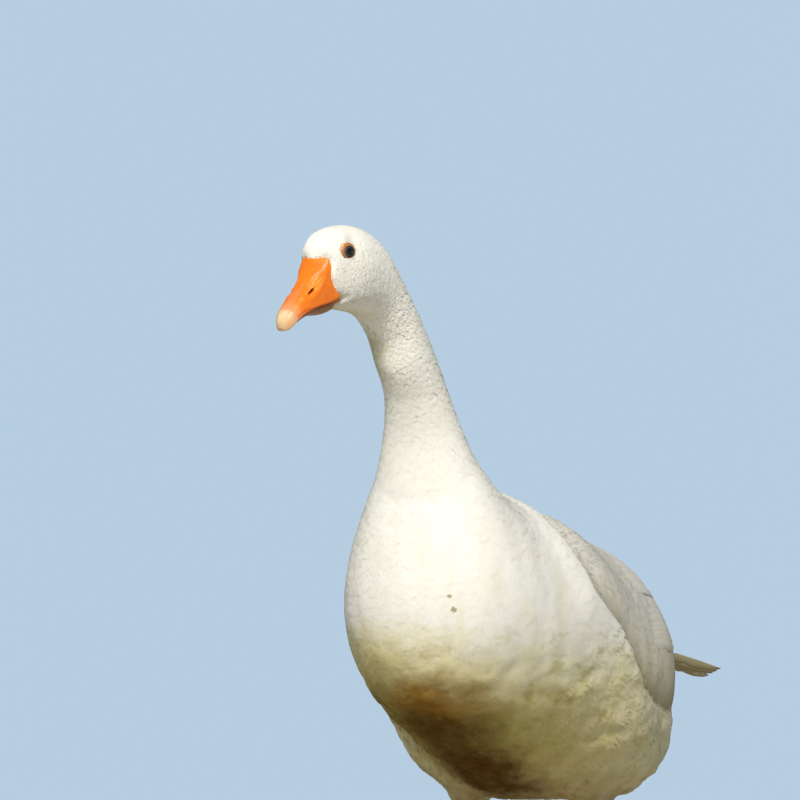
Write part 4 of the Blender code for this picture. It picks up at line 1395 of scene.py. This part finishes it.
# %% [markdown]
# ## Legs, feet and claws
# The legs are bare from the thigh's end down: dry orange skin, cut into small many-sided scales. Each shank
# and foot are remeshed into one skin, and a cell pattern sinks the seams between the scales, less on the
# webs between the toes. The claws are horn, and are only rounded off. The soles are set flat on the floor.

# %% Legs and claws
SCALE_SIZE, SEAM_SHARE, SEAM_DEPTH, WEB_SEAM = 0.0026, 0.30, 0.00035, 0.35
WEB_TOP, SOLE_TOP = 0.0045, 0.0009
TOES = ("inner", "middle", "outer", "hind")


def leg_skin(side):
    obj = horn("leg_skin_" + side, ["shank_" + side, "foot_" + side], 0.0010, 3, 0.0004)
    points, corners = read(obj.data)
    out = normals_of(points, corners)
    seams = []
    for p in points:
        near = noise.voronoi(Vector((p[0], p[1], p[2] * 0.8)) / SCALE_SIZE)[0]
        seams.append(min(near[1] - near[0], SEAM_SHARE))
    seams = 1 - np.array(seams) / SEAM_SHARE
    on_web = (points[:, 2] < WEB_TOP) & (np.abs(out[:, 2]) > 0.9)
    points = points - (SEAM_DEPTH * seams * np.where(on_web, WEB_SEAM, 1.0))[:, None] * out
    points[:, 2] = np.where(points[:, 2] < SOLE_TOP, 0.0, points[:, 2])
    write(obj.data, points)
    set_attribute(obj.data, "seam", seams)
    return obj


def claws_of(side):
    return horn("claws_" + side, [f"claw_{toe}_{side}" for toe in TOES], 0.0004, 3, 0.0002)


legs, claws = {}, {}
for side in SIDES:
    legs[side], claws[side] = leg_skin(side), claws_of(side)
print("legs", len(legs["left"].data.polygons), "claws", len(claws["left"].data.polygons), "faces a side")

# %% [markdown]
# ## Colours of leg and claw
# The scales vary a little in orange, their seams are darker, and dust dulls the sole's edge. The seams also
# feed the bump, so the smallest of them show where the mesh is too coarse. Claws are streaked horn.

# %% Leg and claw finishes
LEG_ORANGE, LEG_PALE = (0.80, 0.26, 0.035), (0.72, 0.30, 0.075)
LEG_SEAM, LEG_DUST = (0.42, 0.12, 0.02), (0.30, 0.19, 0.09)
CLAW_DARK, CLAW_LIGHT = (0.52, 0.40, 0.26), (0.70, 0.58, 0.42)


def leg_finish():
    made, web, shader = finish_of("leg", Roughness=0.5, Specular_IOR_Level=0.4)
    seam, place = web.painted("seam"), web.object_place()
    patch = web.noise(place, 70.0, 3.0)
    fine = web.noise(place, 1100.0, 2.0)
    colour = web.mix(web.step(patch, 0.35, 0.68), LEG_ORANGE, LEG_PALE)
    colour = web.mix(web.step(seam, 0.35, 0.95) * 0.55, colour, LEG_SEAM)
    dusty = web.step(web.apart(place).also("Z"), 0.012, 0.000) * web.step(patch, 0.40, 0.60)
    colour = web.mix(dusty * 0.5, colour, LEG_DUST)
    height = fine - seam * 0.6
    bumps = web.add("ShaderNodeBump", None, {"Strength": 0.3, "Distance": 0.0004, "Height": height})
    feed(web, shader, Base_Color=colour, Normal=bumps, Roughness=0.42 + patch * 0.25)
    return made


def claw_finish():
    made, web, shader = finish_of("claw", Roughness=0.4)
    fine = web.noise(web.object_place() * (1.0, 0.35, 1.0), 900.0, 2.0)
    colour = web.mix(web.step(fine, 0.35, 0.65), CLAW_DARK, CLAW_LIGHT)
    feed(web, shader, Base_Color=colour, Roughness=0.32 + fine * 0.25)
    return made


leg_material, claw_material = leg_finish(), claw_finish()
for side in SIDES:
    legs[side].data.materials.append(leg_material)
    claws[side].data.materials.append(claw_material)
print("leg and claw finishes ready")

# %% [markdown]
# ## Quill feathers
# The long feathers of wing and tail are made one by one: a thin closed blade round a line, a little arched,
# with splits in its edge. A flat card would be simpler, but it has no thickness and tears where two cross.
# One section of seven points, carried along the line, makes the blade.

# %% Quill blade
STATIONS = 14
SECTION = ((-1.0, 0.0), (-0.55, 0.55), (0.0, 1.0), (0.55, 0.55), (1.0, 0.0), (0.5, -0.35), (-0.5, -0.35))
THICKNESS, THINNEST = 0.0007, 0.06
FIRST_SPLIT, SPLIT_LEAST, SPLIT_MORE = 5, 0.10, 0.22
SHARES = np.linspace(0, 1, STATIONS)


def blade_frame(spots, ups):
    """Unit arrows across a line and up from it, at right angles to it."""
    ahead = np.gradient(spots, axis=0)
    ahead /= np.linalg.norm(ahead, axis=1)[:, None]
    ups = ups - (ups * ahead).sum(1)[:, None] * ahead
    ups /= np.linalg.norm(ups, axis=1)[:, None]
    return np.cross(ahead, ups), ups


def quill_solid(spots, ups, width, blunt, rng, lean=0.0, arch=0.12, splits=2):
    """A closed blade round a line. blunt rounds the tip, lean makes one side wider than the other."""
    past = np.clip((SHARES - blunt) / (1 - blunt), 0, 1)
    outline = np.minimum(1, 0.28 + 2.6 * SHARES) * (1 - past**2.2) ** 0.55
    outline = np.maximum(outline, THINNEST)
    notch = np.ones((STATIONS, 2))
    for _ in range(splits):
        where = rng.integers(FIRST_SPLIT, STATIONS - 1), rng.integers(0, 2)
        notch[where] -= SPLIT_LEAST + SPLIT_MORE * rng.random()
    spots = np.array(spots)
    sides, ups = blade_frame(spots, np.array(ups))
    points = []
    for i in range(STATIONS):
        half = width / 2 * outline[i]
        for across_by, rise_by in SECTION:
            reach = half * across_by * (1 + lean * np.sign(across_by)) * notch[i, int(across_by > 0)]
            drop = arch * half * across_by**2
            points.append(spots[i] + sides[i] * reach + ups[i] * (THICKNESS * rise_by - drop))
    count = len(SECTION)
    faces = []
    for i in range(STATIONS - 1):
        for j in range(count):
            a, b = i * count + j, i * count + (j + 1) % count
            faces += [(a, b, b + count), (a, b + count, a + count)]
    end = (STATIONS - 1) * count
    faces += [(0, j + 1, j) for j in range(1, count - 1)]
    faces += [(end, end + j, end + j + 1) for j in range(1, count - 1)]
    return np.array(points), np.array(faces)


print("a quill has", STATIONS * len(SECTION), "points")

# %% [markdown]
# ## Feathers that follow the wing
# The wing's coverts overlap like tiles and lie close to it for their whole length. Each line starts at a
# root on the skin and goes back in small steps. At each step it is laid on the nearest place of the skin,
# with the root just under it and the rest a little above.

# %% Quill lines
skin_tree = tree_of((skin_points, skin_corners))
MIDDLE_HEIGHT, FAR_OUT = 0.27, 0.5


def skin_spot(y, angle, sign):
    """The skin's point and normal at this y, seen from the body's middle line at an angle above the level."""
    way = Vector((sign * math.cos(math.radians(angle)), 0.0, math.sin(math.radians(angle))))
    hit, normal, _, _ = skin_tree.ray_cast(Vector((0.0, y, MIDDLE_HEIGHT)) + way * FAR_OUT, -way)
    return hit, normal


def quill_line(root, heading, length, height):
    """Points and normals of a feather that lies along the skin."""
    spots, ups = [], []
    spot, way = Vector(root), Vector(heading).normalized()
    for share in SHARES:
        near, normal, _, _ = skin_tree.find_nearest(spot)
        spot = near + normal * height * min(1.0, 2.2 * share - 0.35)
        spots.append(spot.copy())
        ups.append(normal.normalized())
        way = (way - ups[-1] * way.dot(ups[-1])).normalized()
        spot = spot + way * (length / (STATIONS - 1))
    return spots, ups


print("skin at the wing's height", [round(v, 3) for v in skin_spot(0.0, 20, 1)[0]])

# %% [markdown]
# ## Rows of quills
# Feathers of one piece are gathered in a small class. It draws their chances from one seeded source, joins
# them into one mesh, and gives each feather a cell of its own on the colour map. A row spreads its roots
# from a start to an end, and its feathers turn, shorten and differ a little from one to the next.

# %% Plumes
CELL_EDGE = 0.08  # the share of a map cell that is left free on each side
# painted shade over every wing and tail quill
QUILL_PAINTED_SHADE = 0.30


def between(ends, share):
    return ends[0] + (ends[1] - ends[0]) * share


class Plumes:
    """Quill feathers gathered into one piece, each with its own cell of the colour map."""

    def __init__(self, name, seed):
        self.name, self.rng, self.solids = name, np.random.default_rng(seed), []

    def add(self, spots, ups, width, blunt, **more):
        self.solids.append(quill_solid(spots, ups, width, blunt, self.rng, **more))

    def row(self, sign, count, start, end, lengths, width, height, turns, blunt, splits):
        """count feathers with roots from start to end, each (y, angle), turned from straight back."""
        for share in np.linspace(0, 1, count):
            y = between((start[0], end[0]), share) + self.rng.normal(0, 0.0012)
            angle = between((start[1], end[1]), share) + self.rng.normal(0, 0.5)
            spot, normal = skin_spot(y, angle, sign)
            back = Vector((0.0, 1.0, 0.0))
            back = (back - normal * back.dot(normal)).normalized()
            way = Matrix.Rotation(math.radians(sign * between(turns, share)), 3, normal) @ back
            length = between(lengths, share) * (1 + self.rng.normal(0, 0.03))
            self.add(*quill_line(spot, way, length, height), width, blunt, splits=splits)

    def map_cells(self):
        """Each feather's points in a cell of their own, tip upwards."""
        cells = math.ceil(math.sqrt(len(self.solids)))
        rows = math.ceil(len(self.solids) / cells)
        share = CELL_EDGE + (1 - 2 * CELL_EDGE) * np.repeat(SHARES, len(SECTION))
        turn = CELL_EDGE + (1 - 2 * CELL_EDGE) * np.tile(np.linspace(0, 1, len(SECTION)), STATIONS)
        return np.concatenate([
            np.stack([(n % cells + share) / cells, (n // cells + turn) / rows], 1)
            for n in range(len(self.solids))
        ])

    def piece(self, finish):
        obj = make(self.name, *joined(self.solids))
        set_attribute(obj.data, "tipward", np.tile(np.repeat(SHARES, len(SECTION)), len(self.solids)))
        set_attribute(obj.data, "crease", np.full(len(obj.data.vertices), QUILL_PAINTED_SHADE))
        flat = obj.data.uv_layers.new(name="OFBake")
        corners = np.empty(len(obj.data.loops), np.int32)
        obj.data.loops.foreach_get("vertex_index", corners)
        flat.data.foreach_set("uv", self.map_cells()[corners].astype(np.float32).ravel())
        obj.data.materials.append(finish)
        obj.data.shade_smooth()
        print(self.name, len(self.solids), "feathers", len(obj.data.polygons), "faces")
        return obj


print("plumes ready")

# %% [markdown]
# ## Colours of the quills
# Long feathers share the plumage recipe, so they carry the same soils and the same painted shade. The
# wing's tips are worn and brown almost to their roots, the other feathers only at the very end. A copy of the
# recipe with one more layer, read from the way towards the tip, does both.

# %% Wing and tail finishes
WORN = (0.36, 0.29, 0.15)


def quill_finish(name, start, full, strength):
    """The plumage recipe with a worn brown end, from start to full along the feather."""
    made = plumage_finish.copy()
    made.name = name
    web, shader = Web(made.node_tree), made.node_tree.nodes["Principled BSDF"]
    base = Wire(web, shader.inputs["Base Color"].links[0].from_socket)
    grit = web.noise(web.object_place(), 240.0, 3.0)
    worn = web.step(web.painted("tipward") + (grit - 0.5) * 0.30, start, full) * strength
    feed(web, shader, Base_Color=web.mix(worn, base, WORN))
    return made


wing_quills = quill_finish("wing_quills", 0.90, 1.15, 0.35)
tip_quills = quill_finish("tip_quills", -0.10, 0.35, 0.90)
print("quill finishes ready")

# %% [markdown]
# ## Wing feathers
# Of the folded wing, the ends of the long flight feathers stick out in a narrow ragged blade. They are five
# almost straight feathers along the wing tip's solid, each a little lower and shorter than the last, except
# that the fifth ends as high as the first. Two rows of coverts cover the wing in front of them, one low on
# its side and one on its top.

# %% Wings
TIP_FEATHERS, TIP_BACK, TIP_INWARD, TIP_SAG = 5, 0.060, 0.0120, 0.002
TIP_UP = Vector((0.97, 0.0, 0.24))

tip_low, tip_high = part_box("wingtip_left")
plume_pieces = {}


def wing_y(share):
    return wing_low[1] + (wing_high[1] - wing_low[1]) * share


def wing_tip(side, sign):
    tips = Plumes("primaries_" + side, 21 + sign)
    solid_points = node_solid("wingtip_" + side)[0]
    reach = tip_high[1] - tip_low[1]
    root_at, end_at = [
        Vector(solid_points[abs(solid_points[:, 1] - y) < 0.25 * reach].mean(axis=0))
        for y in (tip_low[1], tip_high[1])
    ]
    axis = (end_at - root_at).normalized()
    for n in range(TIP_FEATHERS):
        inward = Vector((-sign * (TIP_INWARD + 0.0007 * n), 0.0, 0.0024 - 0.0014 * n))
        root = root_at - axis * TIP_BACK + inward
        end = root_at + axis * (reach * 0.95 - 0.010 * n)
        end += Vector((-sign * 0.0007 * n, 0.0, -0.0030 * (n % (TIP_FEATHERS - 1))))
        spots = [root.lerp(end, t) + Vector((0, 0, -TIP_SAG * math.sin(math.pi * t))) for t in SHARES]
        ups = [Vector((sign * TIP_UP.x, 0.0, TIP_UP.z))] * STATIONS
        tips.add(spots, ups, 0.0095, 0.45, lean=0.25, splits=6)
    return tips.piece(tip_quills)


def wing_coverts(side, sign):
    wing = Plumes("wing_feathers_" + side, 31 + sign)
    wing.row(sign, 14, (wing_y(0.34), 4), (wing_y(0.54), 30), (0.112, 0.112), 0.017, 0.0020, (-3, 2),
             blunt=0.62, splits=4)
    wing.row(sign, 9, (wing_y(0.40), 32), (wing_y(0.44), 62), (0.125, 0.110), 0.022, 0.0028, (0, 4),
             blunt=0.50, splits=4)
    return wing.piece(wing_quills)


for side, sign in SIGNS.items():
    plume_pieces["primaries_" + side] = wing_tip(side, sign)
    plume_pieces["wing_feathers_" + side] = wing_coverts(side, sign)

# %% [markdown]
# ## Tail feathers
# The tail is a short fan of broad feathers. The middle ones lie highest, and the outer ones lower and tilted,
# as tiles on a low roof. They start inside the rump's coat and end round the tail's solid.

# %% Tail
TAIL_FEATHERS, TAIL_RISE, TAIL_TILT = 16, 0.0120, 0.30
TAIL_WIDTH, TAIL_BLUNT, TAIL_ARCH = 0.0200, 0.78, 0.04

tail_points = node_solid("tail")[0]
tail_low, tail_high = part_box("tail")
tail_end = tail_points[tail_points[:, 1] > tail_high[1] - 0.012]
tail_root = tail_points[tail_points[:, 1] < tail_low[1] + 0.030]
tail = Plumes("tail_feathers", 41)
for place in np.linspace(-1, 1, TAIL_FEATHERS):
    place = float(place)
    high = TAIL_RISE * (1 - abs(place))
    root = Vector((0.026 * place, tail_low[1] + 0.004, tail_root[:, 2].mean() + 0.6 * high))
    fan = Vector((abs(tail_end[:, 0]).max() * place, -0.014 * place**2, high - 0.002))
    end = Vector((0.0, tail_high[1], tail_end[:, 2].mean())) + fan
    ups = [Vector((TAIL_TILT * place, -0.05, 1.0)).normalized()] * STATIONS
    tail.add([root.lerp(end, t) for t in SHARES], ups, TAIL_WIDTH, TAIL_BLUNT, arch=TAIL_ARCH)
plume_pieces["tail_feathers"] = tail.piece(wing_quills)

# %% [markdown]
# ## What rides on what
# A rig usually hangs each piece on the bone that moves it. This goose has one body, so every piece rides on
# "root". Each piece names the CAD parts that it stands for, and the kind of finish that it has. The vanes
# were only patterns for the coat, so they are cleared away first.

# %% Ride and replace
stands_for = [
    (skin, FLESH, "plumage"),
    (bill_upper, ("bill_upper",), "bill"),
    (bill_nail, ("bill_nail",), "nail"),
    (bill_lower, ("bill_lower",), "bill"),
    (plume_pieces["tail_feathers"], ("tail",), "plumage"),
]
for side in SIDES:
    stands_for += [
        (eyeballs[side], ("eye_" + side,), "eye"),
        (lid_rings[side], (), "bill"),
        (legs[side], ("shank_" + side, "foot_" + side), "leg"),
        (claws[side], [f"claw_{toe}_{side}" for toe in TOES], "claw"),
        (plume_pieces["primaries_" + side], ("wingtip_" + side,), "plumage"),
        (plume_pieces["wing_feathers_" + side], (), "plumage"),
    ]
stands_for += [(piece, (), "plumage") for piece in coat_pieces]
for box in list(vane_box.children):
    for obj in list(box.objects):
        bpy.data.objects.remove(obj)
    bpy.data.collections.remove(box)
bpy.data.collections.remove(vane_box)
for piece, replaced, slot in stands_for:
    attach(piece, "root")
    if replaced:
        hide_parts(*replaced)
print(len(stands_for), "pieces ride on root")

# %% [markdown]
# ## Floor and surround
# The goose stands on a plain round pale floor. Outdoors a white bird is lit by the sun, and tinted blue by
# the sky and warm by the ground. A plain surround does the same indoors: cool at eye level, greyer overhead
# and warm below. The Standard view keeps the white of the plumage as bright as the light makes it, where a
# filmic one would grey it.

# %% Floor and surround
FLOOR_RADIUS, FLOOR_SIDES, FLOOR_DROP, FLOOR_PALE = 1.3, 96, -0.0002, (0.50, 0.46, 0.37, 1.0)
SKY_LOW, SKY_HIGH, GROUND = (0.47, 0.61, 0.75), (0.15, 0.155, 0.16), (0.33, 0.29, 0.19)

spokes = np.linspace(0, 2 * math.pi, FLOOR_SIDES, endpoint=False)
rim_points = [(FLOOR_RADIUS * math.cos(a), FLOOR_RADIUS * math.sin(a), FLOOR_DROP) for a in spokes]
floor = make("floor", rim_points, [tuple(range(FLOOR_SIDES))])
floor.data.materials.append(finish_of("floor", Roughness=0.8, Base_Color=FLOOR_PALE)[0])

world = bpy.data.worlds.new("surround")
world.use_nodes = True
web = Web(world.node_tree)
rise = web.apart(web.add("ShaderNodeTexCoord", out="Generated")).also("Z")
above = web.mix(web.step(rise, 0.05, 0.26), SKY_LOW, SKY_HIGH)
around_it = web.mix(web.step(rise, -0.09, -0.25), above, GROUND)
world.node_tree.links.new(around_it.socket, world.node_tree.nodes["Background"].inputs["Color"])
bpy.context.scene.world = world
bpy.context.scene.view_settings.view_transform = "Standard"
print("floor", 2 * FLOOR_RADIUS, "across")

# %% [markdown]
# ## Light
# One warm lamp high in front stands for the sun, and is large enough for soft shadows. A broad weak one low
# in front lifts the underside, as light from the ground would, and a weak one behind separates the back
# from the surround.

# %% Lamps
def lamp(name, place, aim, power, size, colour):
    data = bpy.data.lights.new(name, "AREA")
    data.shape, data.size, data.energy, data.color = "DISK", size, power, colour
    obj = bpy.data.objects.new(name, data)
    obj.location = place
    obj.rotation_euler = (Vector(aim) - Vector(place)).to_track_quat("-Z", "Y").to_euler()
    bpy.context.scene.collection.objects.link(obj)


lamp("key", (1.00, -3.54, 3.87), (0.0, -0.05, 0.36), 285.0, 1.2, (1.0, 0.965, 0.90))
lamp("fill", (0.6, -3.3, 0.9), (0.0, 0.0, 0.3), 5.0, 2.4, (1.0, 0.88, 0.70))
lamp("back", (0.6, 2.8, 2.2), (0.0, 0.0, 0.35), 4.0, 1.8, (1.0, 0.97, 0.90))
print("three lamps")

# %% [markdown]
# ## Camera
# The camera looks from the goose's front left, at the height of its head and almost level, from far enough
# to flatten it as a long lens does. Its frame cuts the legs off. The gape is the fixed point: the aim is set
# so that the gape stands a known way from the middle of the frame.

# %% Camera
AZIMUTH, ELEVATION = math.radians(24), math.radians(1)
DISTANCE, FRAME_WIDTH, SENSOR = 6.0, 0.664, 36.0
GAPE_IN_FRAME = (0.0615, 0.0909)  # how far the gape lies left of the frame's middle, and above it

towards = Vector((
    math.sin(AZIMUTH) * math.cos(ELEVATION), -math.cos(AZIMUTH) * math.cos(ELEVATION), math.sin(ELEVATION),
))
rightwards = Vector((math.cos(AZIMUTH), math.sin(AZIMUTH), 0.0))
upwards = towards.cross(rightwards)
aim = gape + rightwards * GAPE_IN_FRAME[0] - upwards * GAPE_IN_FRAME[1]
camera_data = bpy.data.cameras.new("camera")
camera_data.sensor_width = SENSOR
camera_data.lens = SENSOR * DISTANCE / FRAME_WIDTH
camera = bpy.data.objects.new("camera", camera_data)
camera.location = aim + towards * DISTANCE
camera.rotation_euler = (-towards).to_track_quat("-Z", "Y").to_euler()
bpy.context.scene.collection.objects.link(camera)
bpy.context.scene.camera = camera
print("camera", [round(v, 3) for v in camera.location])

# %% [markdown]
